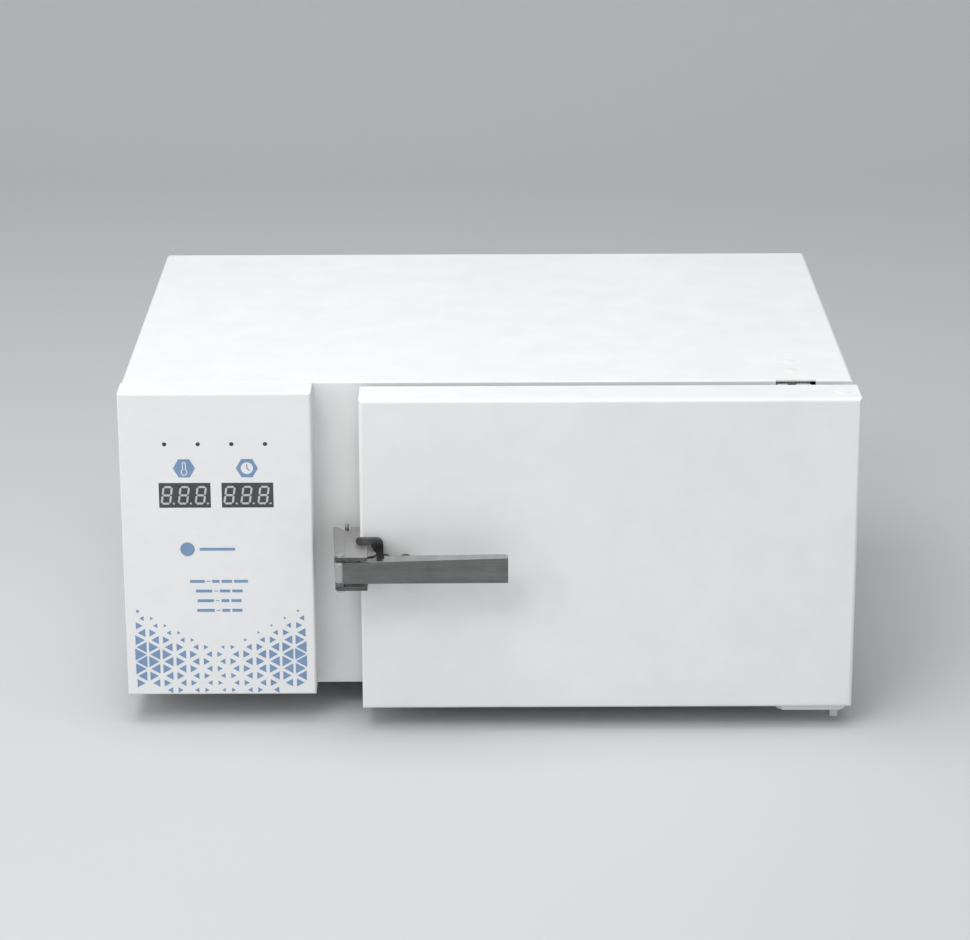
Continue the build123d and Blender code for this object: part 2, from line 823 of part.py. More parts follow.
with BuildPart() as display_digits:
    with BuildSketch(facing_front(overlay_front + display_recess)):
        for centre_x, centre_z in display_centres:
            for n in (-1, 0, 1):
                x = centre_x + n * digit_pitch - segment_width / 2
                for z in (-half_height, 0, half_height):
                    start, end = -half_digit + segment_gap, half_digit - segment_gap
                    shift = x + z * lean
                    step = segment_width / 2
                    Polygon(
                        (shift + start, centre_z + z),
                        (shift + start + step, centre_z + z + step),
                        (shift + end - step, centre_z + z + step),
                        (shift + end, centre_z + z),
                        (shift + end - step, centre_z + z - step),
                        (shift + start + step, centre_z + z - step),
                        align=None,
                    )
                for side in (-half_digit, half_digit):
                    for low, high in ((-half_height, 0), (0, half_height)):
                        low, high = low + segment_gap, high - segment_gap
                        outline = (
                            (side, low),
                            (side + step, low + step),
                            (side + step, high - step),
                            (side, high),
                            (side - step, high - step),
                            (side - step, low + step),
                        )
                        Polygon(*[(x + a + b * lean, centre_z + b) for a, b in outline], align=None)
                with Locations((x + half_digit + segment_width * 1.3, centre_z - half_height)):
                    Circle(segment_width / 2)
    extrude(amount=print_thickness)
finish(display_digits, "display_digits")

with BuildPart() as status_lamps:
    for x, z in lamp_places:
        rod(lamp_radius, (x, board_front, z), board_setback, (0, -1, 0))
    fillet(status_lamps.faces().group_by(Axis.Y)[0].edges(), lamp_radius * 0.8)
    for x, z in lamp_places:
        rod(lamp_radius + 0.4, (x, board_front, z), 2, (0, -1, 0))
finish(status_lamps, "status_lamps")

switch_plunger = 1.0
switch_case = 3.5
plunger_top = board_front - switch_case - switch_plunger

with BuildPart() as button_switch:
    block((button_x - 3, button_x + 3), (board_front - switch_case, board_front), (button_z - 3, button_z + 3))
    rod(1.75, (button_x, board_front - switch_case, button_z), switch_plunger, (0, -1, 0))
finish(button_switch, "button_switch")

stem_end = plunger_top - button_travel - button_clearance
flange_front = panel_front + cover_sheet + button_clearance

with BuildPart() as program_button:
    rod(button_radius, (button_x, flange_front, button_z), flange_front - overlay_front + button_proud, (0, -1, 0))
    fillet(program_button.faces().sort_by(Axis.Y)[0].edges(), button_proud / 2)
    rod(button_radius + button_flange, (button_x, flange_front, button_z), 1, (0, 1, 0))
    rod(button_radius / 2, (button_x, flange_front + 1, button_z), stem_end - flange_front - 1, (0, 1, 0))
finish(program_button, "program_button")

# Electronics bay between the cabinet's left side and the insulation

core_inset = 62.0
core_setback = 88.0
core_half_width = 28.0
core_half_stack = 10.0
core_height = 47.0
coil_half_depth = 24.0
coil_corner_radius = 6.0
coil_bottom_gap = 8.5
coil_top_gap = 8.0
core_foot_half_depth = 12.0
core_foot_reach = 8.0
core_foot_sheet = 1.5
core_x = left + core_inset
core_y = front + core_setback
core_bottom = bay_floor + core_foot_sheet

with BuildPart() as transformer:
    block(
        (core_x - core_half_width - core_foot_reach, core_x + core_half_width + core_foot_reach),
        (core_y - core_foot_half_depth, core_y + core_foot_half_depth),
        (bay_floor, core_bottom),
    )
    block(
        (core_x - core_half_width, core_x + core_half_width),
        (core_y - core_half_stack, core_y + core_half_stack),
        (core_bottom, core_bottom + core_height),
    )
    block(
        (core_x - core_half_width / 2, core_x + core_half_width / 2),
        (core_y - coil_half_depth, core_y + coil_half_depth),
        (core_bottom + coil_bottom_gap, core_bottom + core_height - coil_top_gap),
    )
    fillet(transformer.edges().filter_by(Axis.Z).group_by(Axis.Y)[-1], coil_corner_radius)
    fillet(transformer.edges().filter_by(Axis.Z).group_by(Axis.Y)[0], coil_corner_radius)
    foot_screw_reach = core_half_width + core_foot_reach / 2
    for x in (core_x - foot_screw_reach, core_x + foot_screw_reach):
        rod(screw_radius, (x, core_y, core_bottom), screw_head_height)
finish(transformer, "transformer")

relay_inset = 30.0
relay_width = 120.0
relay_length = 90.0
relay_rear_room = 105.0
relay_lift = 8.0
relay_post_inset = 6.0
capacitor_radius = 8.0
capacitor_height = 18.0
capacitor_inset = 24.0
capacitor_pitch = 22.0
capacitor_setback = 30.0
header_inset = 12.0
header_length = 40.0
header_depth = 10.0
header_height = 9.0
header_rear_gap = 12.0
relay_case_inset = 18.0
relay_case_width = 28.0
relay_case_length = 32.0
relay_case_height = 26.0
relay_case_setback = 10.0
relay_case_corner = 1.5
terminal_inset = 8.0
terminal_length = 48.0
terminal_depth = 16.0
terminal_height = 12.0
terminal_rear_gap = 8.0
terminal_pitch = 8.0
terminal_count = 6
terminal_well_radius = 2.5
terminal_well_depth = 1.5
relay_left = left + relay_inset
relay_right = relay_left + relay_width
relay_back = back - relay_rear_room
relay_front = relay_back - relay_length
relay_level = bay_floor + relay_lift
relay_top = relay_level + board_thickness

with BuildPart() as relay_board:
    block((relay_left, relay_right), (relay_front, relay_back), (relay_level, relay_top))
    for x in (relay_left + relay_post_inset, relay_right - relay_post_inset):
        for y in (relay_front + relay_post_inset, relay_back - relay_post_inset):
            rod(standoff_radius, (x, y, bay_floor), relay_lift)
    for x in (relay_left + capacitor_inset, relay_left + capacitor_inset + capacitor_pitch):
        rod(capacitor_radius, (x, relay_front + capacitor_setback, relay_top), capacitor_height)
    block(
        (relay_left + header_inset, relay_left + header_inset + header_length),
        (relay_back - header_rear_gap - header_depth, relay_back - header_rear_gap),
        (relay_top, relay_top + header_height),
    )
finish(relay_board, "relay_board")

with BuildPart() as power_relay:
    block(
        (relay_right - relay_case_inset - relay_case_width, relay_right - relay_case_inset),
        (relay_front + relay_case_setback, relay_front + relay_case_setback + relay_case_length),
        (relay_top, relay_top + relay_case_height),
    )
    fillet(power_relay.edges().filter_by(Axis.Z), relay_case_corner)
finish(power_relay, "power_relay")

terminal_right = relay_right - terminal_inset
terminal_back = relay_back - terminal_rear_gap
terminal_middle = terminal_back - terminal_depth / 2
terminal_top = relay_top + terminal_height
terminal_wells = [terminal_right - (n + 0.5) * terminal_pitch for n in range(terminal_count)]

with BuildPart() as terminal_block:
    block(
        (terminal_right - terminal_length, terminal_right),
        (terminal_back - terminal_depth, terminal_back),
        (relay_top, terminal_top),
    )
    for x in terminal_wells:
        rod(terminal_well_radius, (x, terminal_middle, terminal_top), -terminal_well_depth, mode=Mode.SUBTRACT)
finish(terminal_block, "terminal_block")

inlet_back = back + inlet_flange
recess_end = inlet_back - inlet_recess_depth
inlet_end = back - inlet_depth
blade_places = [(-blade_pitch, -blade_drop), (0, earth_lift), (blade_pitch, -blade_drop)]

with BuildPart() as power_inlet:
    with BuildSketch(facing_front(inlet_back)):
        with Locations((inlet_x, inlet_z)):
            RectangleRounded(inlet_flange_width, inlet_flange_height, inlet_flange_corner)
    extrude(amount=inlet_flange)
    block(
        (inlet_x - inlet_width / 2, inlet_x + inlet_width / 2),
        (inlet_end, back),
        (inlet_z - inlet_body_height / 2, inlet_z + inlet_body_height / 2),
    )
    with BuildSketch(facing_front(inlet_back)) as recess:
        with Locations((inlet_x, inlet_z)):
            Rectangle(inlet_recess_width, inlet_recess_height)
        chamfer(recess.vertices().group_by(Axis.Y)[-1], inlet_recess_chamfer)
    extrude(amount=inlet_recess_depth, mode=Mode.SUBTRACT)
    for across, up in blade_places:
        block(
            (inlet_x + across - blade_width / 2, inlet_x + across + blade_width / 2),
            (recess_end - 1, inlet_back - blade_setback),
            (inlet_z + up - blade_height / 2, inlet_z + up + blade_height / 2),
        )
        block(
            (inlet_x + across - tab_width / 2, inlet_x + across + tab_width / 2),
            (inlet_end - tab_length, inlet_end),
            (inlet_z + up - tab_sheet / 2, inlet_z + up + tab_sheet / 2),
        )
    for x, z in inlet_screw_places:
        rod(screw_radius + screw_play, (x, back - 1, z), inlet_flange + 2, (0, 1, 0), Mode.SUBTRACT)
finish(power_inlet, "power_inlet")

rocker_room = rocker_half + rocker_end_play
rocker_end = back - switch_well_depth
switch_end = back - switch_depth

with BuildPart() as switch_housing:
    block(
        (switch_x - switch_width / 2 - switch_bezel_side, switch_x + switch_width / 2 + switch_bezel_side),
        (back, back + switch_bezel),
        (
            inlet_z - switch_body_height / 2 - switch_bezel_level,
            inlet_z + switch_body_height / 2 + switch_bezel_level,
        ),
    )
    fillet(switch_housing.faces().sort_by(Axis.Y)[-1].edges(), switch_bezel_edge)
    block(
        (switch_x - switch_width / 2, switch_x + switch_width / 2),
        (switch_end, back),
        (inlet_z - switch_body_height / 2, inlet_z + switch_body_height / 2),
    )
    block(
        (switch_x - rocker_width / 2 - rocker_side_play, switch_x + rocker_width / 2 + rocker_side_play),
        (rocker_end, back + switch_bezel + 1),
        (inlet_z - rocker_room, inlet_z + rocker_room),
        Mode.SUBTRACT,
    )
    pocket_reach = trunnion_reach + trunnion_end_play
    rod(
        trunnion_radius + trunnion_play,
        (switch_x - pocket_reach, rocker_y, inlet_z),
        2 * pocket_reach,
        (1, 0, 0),
        Mode.SUBTRACT,
    )
    for z in (inlet_z - switch_tab_pitch / 2, inlet_z + switch_tab_pitch / 2):
        block(
            (switch_x - switch_tab_width / 2, switch_x + switch_tab_width / 2),
            (switch_end - switch_tab_length, switch_end),
            (z - tab_sheet / 2, z + tab_sheet / 2),
        )
finish(switch_housing, "switch_housing")

rocker_out = (0, cos(radians(rocker_tilt)), sin(radians(rocker_tilt)))
rocker_plane = Plane((switch_x, rocker_y, inlet_z), x_dir=rocker_out, z_dir=(1, 0, 0))

with BuildPart() as power_rocker:
    with BuildSketch(rocker_plane):
        Polygon(
            (rocker_lip, -rocker_half),
            (rocker_lip - rocker_dip, 0),
            (rocker_lip, rocker_half),
            (-rocker_side_depth, rocker_half),
            (-rocker_keel_depth, 0),
            (-rocker_side_depth, -rocker_half),
            align=None,
        )
    extrude(amount=rocker_width / 2, both=True)
    rod(trunnion_radius, (switch_x - trunnion_reach, rocker_y, inlet_z), 2 * trunnion_reach, (1, 0, 0))
finish(power_rocker, "power_rocker")

loom_bend = 4.0
loom_drop = 30.0
loom_sag = 4.0
loom_slack = 10.0
header_x = relay_left + header_inset + header_length / 2
header_y = relay_back - header_rear_gap - header_depth / 2
earth_level = inlet_z + earth_lift
switch_tab_level = inlet_z + switch_tab_pitch / 2
lower_level = heater_levels["lower_heater"]
loom_runs = [
    [
        (loom_x, board_back + plug_depth, loom_z),
        (loom_x, header_y, loom_z),
        (header_x, header_y, loom_z - loom_drop),
        (header_x, header_y, relay_top + header_height),
    ],
    [
        (inlet_x, inlet_end - tab_length, earth_level),
        (inlet_x, (inlet_end + relay_back) / 2, earth_level),
        (terminal_wells[4], relay_back + loom_slack, earth_level),
        (terminal_wells[4], terminal_middle, inlet_z - loom_sag),
        (terminal_wells[4], terminal_middle, terminal_top - terminal_well_depth),
    ],
    [
        (switch_x, switch_end - switch_tab_length, switch_tab_level),
        (switch_x, switch_end - switch_tab_length - 3 * loom_slack, switch_tab_level),
        (terminal_wells[2], terminal_middle, inlet_z),
        (terminal_wells[2], terminal_middle, terminal_top - terminal_well_depth),
    ],
    [
        (terminal_wells[0], terminal_middle, terminal_top - terminal_well_depth),
        (terminal_wells[0], terminal_middle, inlet_z - 2 * loom_sag),
        (relay_right + loom_slack, heater_end + loom_slack, lower_level),
        (heater_legs[0], heater_end + loom_slack, lower_level),
        (heater_legs[0], heater_end, lower_level),
    ],
]

with BuildPart() as wiring_loom:
    for run in loom_runs:
        with BuildLine() as path:
            FilletPolyline(*run, radius=loom_bend)
        with BuildSketch(Plane(path.line @ 0, z_dir=path.line % 0)) as section:
            Circle(loom_radius)
        sweep(section.sketch, path.line)
finish(wiring_loom, "wiring_loom")

# Hinges: two arms from the cabinet, the upper one inside the door and the lower one under it

tongue_back = front + arm_inner_length
arm_outline = [
    (tongue_left, tongue_back),
    (tongue_left, hinge_y + arm_reach + 4),
    (hinge_x - arm_front_left, hinge_y - arm_reach + arm_chamfer),
    (hinge_x - arm_front_left + arm_chamfer, hinge_y - arm_reach),
    (hinge_x + arm_reach - arm_chamfer, hinge_y - arm_reach),
    (hinge_x + arm_reach, hinge_y - arm_reach + arm_chamfer),
    (hinge_x + arm_reach, hinge_y + arm_reach - 3),
    (tongue_right, door_rear),
    (tongue_right, tongue_back),
]
slot_middle = (tongue_left + arm_slot_width + 4.75, front + (arm_slot_rear - arm_slot_front) / 2)


def hinge_arm(z):
    """The flat arm with its pin hole and its slot."""
    slab(arm_outline, z, arm_thickness)
    with BuildSketch(Plane.XY.offset(z)) as holes:
        with Locations((hinge_x, hinge_y)):
            Circle(hinge_pin_radius + hinge_play)
        with Locations(slot_middle):
            SlotOverall(arm_slot_rear + arm_slot_front, arm_slot_width, rotation=90)
    extrude(holes.sketch, amount=arm_thickness, mode=Mode.SUBTRACT)


with BuildPart() as upper_hinge_bracket:
    hinge_arm(upper_arm_bottom)
    for row in pad_rows:
        rod(pad_radius, (tongue_middle, front + row, upper_arm_top), return_top - upper_arm_top)
finish(upper_hinge_bracket, "upper_hinge_bracket")

with BuildPart() as lower_hinge_bracket:
    hinge_arm(lower_arm_bottom)
    block((tongue_left + 2, tongue_right - 2), (front + 14, tongue_back - 2), (lower_arm_top, bottom))
    for x, y in lower_screw_places:
        rod(screw_radius + screw_play, (x, y, lower_arm_bottom - 1), bottom, mode=Mode.SUBTRACT)
finish(lower_hinge_bracket, "lower_hinge_bracket")

with BuildPart() as hinge_screws:
    for x, y in lower_screw_places:
        screw((x, y, lower_arm_bottom), (0, 0, -1), bay_floor - lower_arm_bottom + 2)
finish(hinge_screws, "hinge_screws")

pin_tail = 1.0
nut_plate_top = door_bottom + door_sheet + nut_plate_thickness

with BuildPart() as upper_hinge_pin:
    rod(hinge_pin_radius, (hinge_x, hinge_y, upper_arm_bottom - pin_tail), door_top - upper_arm_bottom + pin_tail)
    rod(pin_cap_radius, (hinge_x, hinge_y, door_top), pin_cap_height)
    fillet(upper_hinge_pin.faces().sort_by(Axis.Z)[-1].edges(), pin_cap_height * 0.8)
finish(upper_hinge_pin, "upper_hinge_pin")

head_top = lower_arm_bottom - washer_gap

with BuildPart() as lower_hinge_bolt:
    with BuildSketch(Plane.XY.offset(head_top)):
        with Locations((hinge_x, hinge_y)):
            RegularPolygon(hinge_head_radius, 6)
    extrude(amount=-hinge_head_height)
    rod(hinge_pin_radius, (hinge_x, hinge_y, head_top), nut_plate_top + 2 - head_top)
finish(lower_hinge_bolt, "lower_hinge_bolt")

with BuildPart() as hinge_washer:
    rod(washer_radius, (hinge_x, hinge_y, lower_arm_top + washer_gap), lower_arm_gap - washer_gap)
    rod(hinge_pin_radius + hinge_play, (hinge_x, hinge_y, lower_arm_top), lower_arm_gap + 1, mode=Mode.SUBTRACT)
finish(hinge_washer, "hinge_washer")

with BuildPart() as hinge_nut_plate:
    block((hinge_x - 24, hinge_x + 8), (hinge_y - 10, hinge_y + 5), (door_bottom + door_sheet, nut_plate_top))
    rod(hinge_pin_radius + hinge_play, (hinge_x, hinge_y, door_bottom), 10, mode=Mode.SUBTRACT)
finish(hinge_nut_plate, "hinge_nut_plate")

# Door: an outer pan open at the rear, closed by an inner pan with a raised field inside the seal

slot_left = tongue_left - 1.5
slot_bottom = upper_arm_bottom - arm_clearance
pan_side_y = door_rear - inner_pan_flange / 2
pan_screw_places = [((x, pan_side_y, door_bottom), (0, 0, -1)) for x in (door_left + 60, door_middle, door_right - 70)]
for level in (door_bottom + door_screw_inset, door_top - door_screw_inset):
    pan_screw_places.append(((door_left, pan_side_y, level), (-1, 0, 0)))
    pan_screw_places.append(((door_right, pan_side_y, level), (1, 0, 0)))

# Latch places
latch_top = door_bottom + latch_height
latch_top_under = latch_top - latch_plate
latch_low_top = latch_top_under - latch_flange_gap
latch_low = latch_low_top - latch_plate
latch_front = door_front - (latch_reach - door_thickness) + 0.5
pivot_x = door_left - pivot_inset
pivot_y = front - door_gap - latch_reach + pivot_setback
lever_front = front - door_gap - latch_reach
bracket_front = door_front - bracket_standoff - bracket_plate
bracket_back = door_front - bracket_standoff
bracket_screw_x = (door_left + 18, door_left + 33)
bracket_middle = latch_low_top + 8.4

with BuildPart() as door_skin:
    block((door_left, door_right), (door_front, door_rear), (door_bottom, door_top))
    fillet(door_skin.faces().sort_by(Axis.Y)[0].edges(), door_bend)
    offset(amount=-door_sheet, openings=door_skin.faces().sort_by(Axis.Y)[-1])
    block(
        (door_right - 2 * door_sheet, door_right + 1),
        (hinge_y - 3, door_rear + 1),
        (slot_bottom, upper_arm_top + arm_clearance),
        Mode.SUBTRACT,
    )
    for z in (door_bottom - 1, door_top - 2 * door_sheet):
        rod(hinge_pin_radius, (hinge_x, hinge_y, z), 4, mode=Mode.SUBTRACT)
    for seat, direction in pan_screw_places:
        countersink(seat, direction)
    for x in bracket_screw_x:
        rod(screw_radius + screw_play, (x, door_front - 1, bracket_middle), 4, (0, 1, 0), Mode.SUBTRACT)
finish(door_skin, "door_skin")

pan_edge = door_sheet + pan_clearance

with BuildPart() as door_inner_pan:
    block(
        (door_left + pan_edge, door_right - pan_edge),
        (door_rear - inner_pan_flange, door_rear),
        (door_bottom + pan_edge, door_top - pan_edge),
    )
    block(
        (chamber_left + emboss_margin, chamber_right - emboss_margin),
        (door_rear - inner_pan_sheet, door_rear + inner_pan_emboss),
        (chamber_floor + emboss_margin, chamber_roof - emboss_margin),
    )
    fillet(door_inner_pan.faces().sort_by(Axis.Y)[-1].edges(), inner_pan_emboss * 0.8)
    block(
        (door_left + pan_edge + inner_pan_sheet, door_right - pan_edge - inner_pan_sheet),
        (door_rear - inner_pan_flange - 1, door_rear - inner_pan_sheet),
        (door_bottom + pan_edge + inner_pan_sheet, door_top - pan_edge - inner_pan_sheet),
        Mode.SUBTRACT,
    )
    inside = emboss_margin + inner_pan_sheet
    block(
        (chamber_left + inside, chamber_right - inside),
        (door_rear - inner_pan_sheet - 1, door_rear + inner_pan_emboss - inner_pan_sheet),
        (chamber_floor + inside, chamber_roof - inside),
        Mode.SUBTRACT,
    )
    block(
        (slot_left, door_right),
        (door_rear - inner_pan_flange - 1, door_rear + 1),
        (slot_bottom, door_top),
        Mode.SUBTRACT,
    )
    for seat, direction in pan_screw_places:
        rod(screw_radius + screw_play, seat, -6, direction, Mode.SUBTRACT)
finish(door_inner_pan, "door_inner_pan")

with BuildPart() as door_insulation:
    inset = door_insulation_inset
    block(
        (door_left + inset, door_right - inset),
        (door_front + door_insulation_gap, door_rear - inner_pan_sheet),
        (door_bottom + inset, slot_bottom - 1),
    )
finish(door_insulation, "door_insulation")

with BuildPart() as door_pan_screws:
    for seat, direction in pan_screw_places:
        screw(seat, direction, 6, countersunk=True)
finish(door_pan_screws, "door_pan_screws")

# Latch: a folded housing beside the door carries a lever on a pivot pin, and closes over a pin on the cabinet

flange_rear = front - door_gap - latch_rear_setback
flange_left = door_left - latch_left
flange_right = door_left + latch_overlap
strike_x = door_left - strike_inset
strike_y = front - strike_setback
flange_plan = [
    (flange_left, flange_rear),
    (pivot_x - barrel_radius, pivot_y),
    (pivot_x - barrel_radius, latch_front),
    (flange_right, latch_front),
    (flange_right, door_front),
    (door_left, door_front),
    (door_left, flange_rear),
    (strike_x + 2.5, flange_rear),
    (strike_x + 2.5, flange_rear - 8.5),
    (strike_x - 1.3, flange_rear - 8.5),
    (strike_x - 6.8, flange_rear),
]
tab_plan = [
    (flange_right, door_front - 1),
    (flange_right + 0.5, door_front - 3),
    (flange_right + 6.5, door_front - 23),
    (flange_right + 4, door_front - 27),
    (flange_right, door_front - 29),
]

with BuildPart() as latch_housing:
    for z in (latch_low, latch_top_under):
        slab(flange_plan, z, latch_plate)
    slab(tab_plan, latch_top_under, latch_plate - 1)
    web = (door_left - latch_plate + 0.5, door_left)
    block(web, (door_front, flange_rear), (latch_low, latch_top))
    rod(pivot_radius + pivot_play, (pivot_x, pivot_y, latch_low - 1), latch_top - latch_low + 2, mode=Mode.SUBTRACT)
    corners = latch_housing.edges().filter_by(Axis.Z).group_by(Axis.Y)[0].group_by(Axis.X)[0]
    fillet(corners, barrel_radius * 0.8)
finish(latch_housing, "latch_housing")

with BuildPart() as latch_pivot_pin:
    rod(pivot_radius, (pivot_x, pivot_y, latch_low), latch_top - latch_low)
    rod(pivot_radius + 0.8, (pivot_x, pivot_y, latch_top), 0.8)
    rod(pivot_radius + 1.2, (pivot_x, pivot_y, latch_low), -1.2)
finish(latch_pivot_pin, "latch_pivot_pin")

lever_bottom = latch_low_top + 2.6
lever_tip = pivot_x + lever_length
lever_root = pivot_x + 3.5
flange_start = pivot_x + 31.5
root_top = lever_bottom + lever_root_height
tip_top = lever_bottom + 0.3 + lever_tip_height
lever_face = [(pivot_x, lever_bottom), (lever_tip, lever_bottom + 0.3), (lever_tip, tip_top), (pivot_x, root_top)]
top_start = root_top + (tip_top - root_top) * (flange_start - pivot_x) / lever_length

with BuildPart() as latch_lever:
    rod(barrel_radius, (pivot_x, pivot_y, latch_low_top + 0.4), latch_flange_gap - 0.4 - lever_clearance)
    upright(lever_face, lever_front + lever_sheet, lever_sheet)
    for low_start, low_tip in ((lever_bottom, lever_bottom + 0.3), (top_start - lever_sheet, tip_top - lever_sheet)):
        with BuildSketch(facing_front(lever_front + lever_root_depth)) as edge:
            Polygon(
                (flange_start, low_start),
                (lever_tip, low_tip),
                (lever_tip, low_tip + lever_sheet),
                (flange_start, low_start + lever_sheet),
                align=None,
            )
        extrude(edge.sketch, amount=lever_root_depth - lever_sheet / 2)
    slab(
        [
            (flange_start - 1, lever_front + lever_root_depth),
            (lever_tip + 1, lever_front + lever_tip_depth),
            (lever_tip + 1, lever_front + lever_root_depth + 1),
            (flange_start - 1, lever_front + lever_root_depth + 1),
        ],
        lever_bottom - 1,
        lever_tip_height + 4,
        Mode.SUBTRACT,
    )
    tip_corners = latch_lever.edges().filter_by(Axis.Z).group_by(Axis.X)[-1].sort_by(Axis.Y)[-2:]
    fillet(tip_corners, 3)
    rod(pivot_radius + pivot_play, (pivot_x, pivot_y, latch_low), latch_top - latch_low, mode=Mode.SUBTRACT)
finish(latch_lever, "latch_lever")

finger_left = door_left - 3
finger_right = door_left + 17
finger_low = latch_top + 0.3
finger_top = finger_low + 4.8
base_low = latch_low_top + 3.4
base_top = base_low + 10

with BuildPart() as latch_bracket:
    with BuildSketch(facing_front(bracket_back)) as outline:
        Polygon(
            (finger_left, finger_low),
            (finger_left + 10.5, finger_low),
            (finger_left + 15, finger_low - 8.1),
            (finger_left + 15, base_low),
            (finger_left + 42, base_low),
            (finger_left + 42, base_top),
            (finger_right, base_top),
            (finger_right, finger_top),
            (finger_left, finger_top),
            align=None,
        )
        fillet(outline.vertices().group_by(Axis.X)[0], (finger_top - finger_low) / 2 - 0.01)
        fillet(outline.vertices().group_by(Axis.Y)[-1].sort_by(Axis.X)[-1], 4.5)
        fillet(outline.vertices().group_by(Axis.X)[-1], 2)
    extrude(amount=bracket_plate)
    for x in bracket_screw_x:
        rod(5, (x, bracket_back, bracket_middle), bracket_standoff, (0, 1, 0))
    for x in bracket_screw_x:
        rod(screw_radius + screw_play, (x, bracket_front - 1, bracket_middle), 10, (0, 1, 0), Mode.SUBTRACT)
finish(latch_bracket, "latch_bracket")

with BuildPart() as latch_screws:
    for x in bracket_screw_x:
        screw((x, bracket_front, bracket_middle), (0, -1, 0), bracket_plate + bracket_standoff + 5)
finish(latch_screws, "latch_screws")

lug_middle = latch_low_top + 8.9

with BuildPart() as strike_bracket:
    block((strike_x - 7.3, strike_x + 6.7), (front - 2, front), (latch_low_top + 0.4, latch_top_under - 4.3))
    block((strike_x - 4.3, strike_x + 3.7), (strike_y - 3.5, front - 1), (lug_middle - 1.5, lug_middle + 1.5))
    fillet(strike_bracket.edges().filter_by(Axis.Z).group_by(Axis.Y)[0], 3)
    rod(strike_radius, (strike_x, strike_y, lug_middle - 5), 10, mode=Mode.SUBTRACT)
finish(strike_bracket, "strike_bracket")

with BuildPart() as strike_pin:
    rod(strike_radius, (strike_x, strike_y, latch_low_top + 1.4), 25.1)
    fillet(strike_pin.faces().group_by(Axis.Z)[-1].edges(), 0.5)
finish(strike_pin, "strike_pin")
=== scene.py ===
import json
import math

import bmesh
import bpy
from mathutils import Matrix, Vector


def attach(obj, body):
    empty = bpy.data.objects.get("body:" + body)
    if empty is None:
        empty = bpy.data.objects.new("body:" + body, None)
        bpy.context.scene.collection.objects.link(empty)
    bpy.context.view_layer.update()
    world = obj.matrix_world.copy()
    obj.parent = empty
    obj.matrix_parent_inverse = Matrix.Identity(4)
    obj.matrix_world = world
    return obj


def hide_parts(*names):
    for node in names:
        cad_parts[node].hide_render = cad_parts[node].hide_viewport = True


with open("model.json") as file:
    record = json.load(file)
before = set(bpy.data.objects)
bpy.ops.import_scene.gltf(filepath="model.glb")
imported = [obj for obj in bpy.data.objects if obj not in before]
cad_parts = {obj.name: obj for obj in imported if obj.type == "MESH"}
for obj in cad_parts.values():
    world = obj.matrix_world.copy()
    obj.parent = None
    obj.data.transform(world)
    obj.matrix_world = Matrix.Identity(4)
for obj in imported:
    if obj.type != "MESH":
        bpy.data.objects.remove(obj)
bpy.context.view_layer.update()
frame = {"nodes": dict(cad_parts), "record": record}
nodes = frame["nodes"]
MM = 0.001

# Places on the object, in millimetres
cabinet_top = 258
weld_x = 223.75
weld_rows = (-124.613, -100.613)
pivot_x, pivot_y = -107.25, -223.813
roll_bottom, roll_top = 129.7, 144.7
back_face = 224.4
back_screw_columns = (-256.75, -0.75, 255.25)
back_screw_rows = (48, 246)
inlet_face, inlet_level = 226.9, 82
inlet_screw_columns = (-228.75, -188.75)
bracket_face, bracket_level = -200.6, 135
bracket_screw_columns = (-75.75, -60.75)

# Camera, in metres and degrees, with the lens as the photograph's focal length in pixels over its width
camera_place = (-0.00802, -2.39275, 0.92628)
camera_pitch, camera_yaw, camera_roll = 18.18, 0.14, -0.17
photo_focal, photo_width, sensor_width = 3200, 970, 36


def place_camera():
    """Looks down at the front of the cabinet from a little left of its middle."""
    pitch = math.radians(camera_pitch)
    yaw = math.radians(camera_yaw)
    roll = math.radians(camera_roll)
    aim = Vector((math.sin(yaw) * math.cos(pitch), math.cos(yaw) * math.cos(pitch), -math.sin(pitch)))
    level = Vector((math.cos(yaw), -math.sin(yaw), 0))
    upward = level.cross(aim)
    across = math.cos(roll) * level + math.sin(roll) * upward
    up = -math.sin(roll) * level + math.cos(roll) * upward
    lens = bpy.data.cameras.new("photo_camera")
    lens.sensor_width = sensor_width
    lens.lens = photo_focal / photo_width * sensor_width
    lens.clip_start = 0.05
    lens.clip_end = 60
    camera = bpy.data.objects.new("photo_camera", lens)
    turn = Matrix((across, up, -aim)).transposed()
    camera.matrix_world = Matrix.Translation(camera_place) @ turn.to_4x4()
    bpy.context.collection.objects.link(camera)
    bpy.context.scene.camera = camera


place_camera()


# Shader groups that several finishes share

def new_group(name, inputs):
    """An empty shader group with the given inputs and with outputs for tone, gloss and relief."""
    tree = bpy.data.node_groups.new(name, "ShaderNodeTree")
    for label, value in inputs.items():
        kind = "NodeSocketVector" if isinstance(value, tuple) else "NodeSocketFloat"
        socket = tree.interface.new_socket(label, in_out="INPUT", socket_type=kind)
        socket.default_value = value
    for label in ("Tone", "Gloss", "Relief"):
        tree.interface.new_socket(label, in_out="OUTPUT", socket_type="NodeSocketFloat")
    entry = tree.nodes.new("NodeGroupInput")
    way_out = tree.nodes.new("NodeGroupOutput")
    return tree, entry.outputs, way_out.inputs


def noise_node(tree, coordinates, scale, detail=2.0, roughness=0.5):
    """A noise texture whose scale is a number or a socket."""
    noise = tree.nodes.new("ShaderNodeTexNoise")
    noise.inputs["Detail"].default_value = detail
    noise.inputs["Roughness"].default_value = roughness
    tree.links.new(coordinates, noise.inputs["Vector"])
    if isinstance(scale, (int, float)):
        noise.inputs["Scale"].default_value = scale
    else:
        tree.links.new(scale, noise.inputs["Scale"])
    return noise.outputs["Fac"]


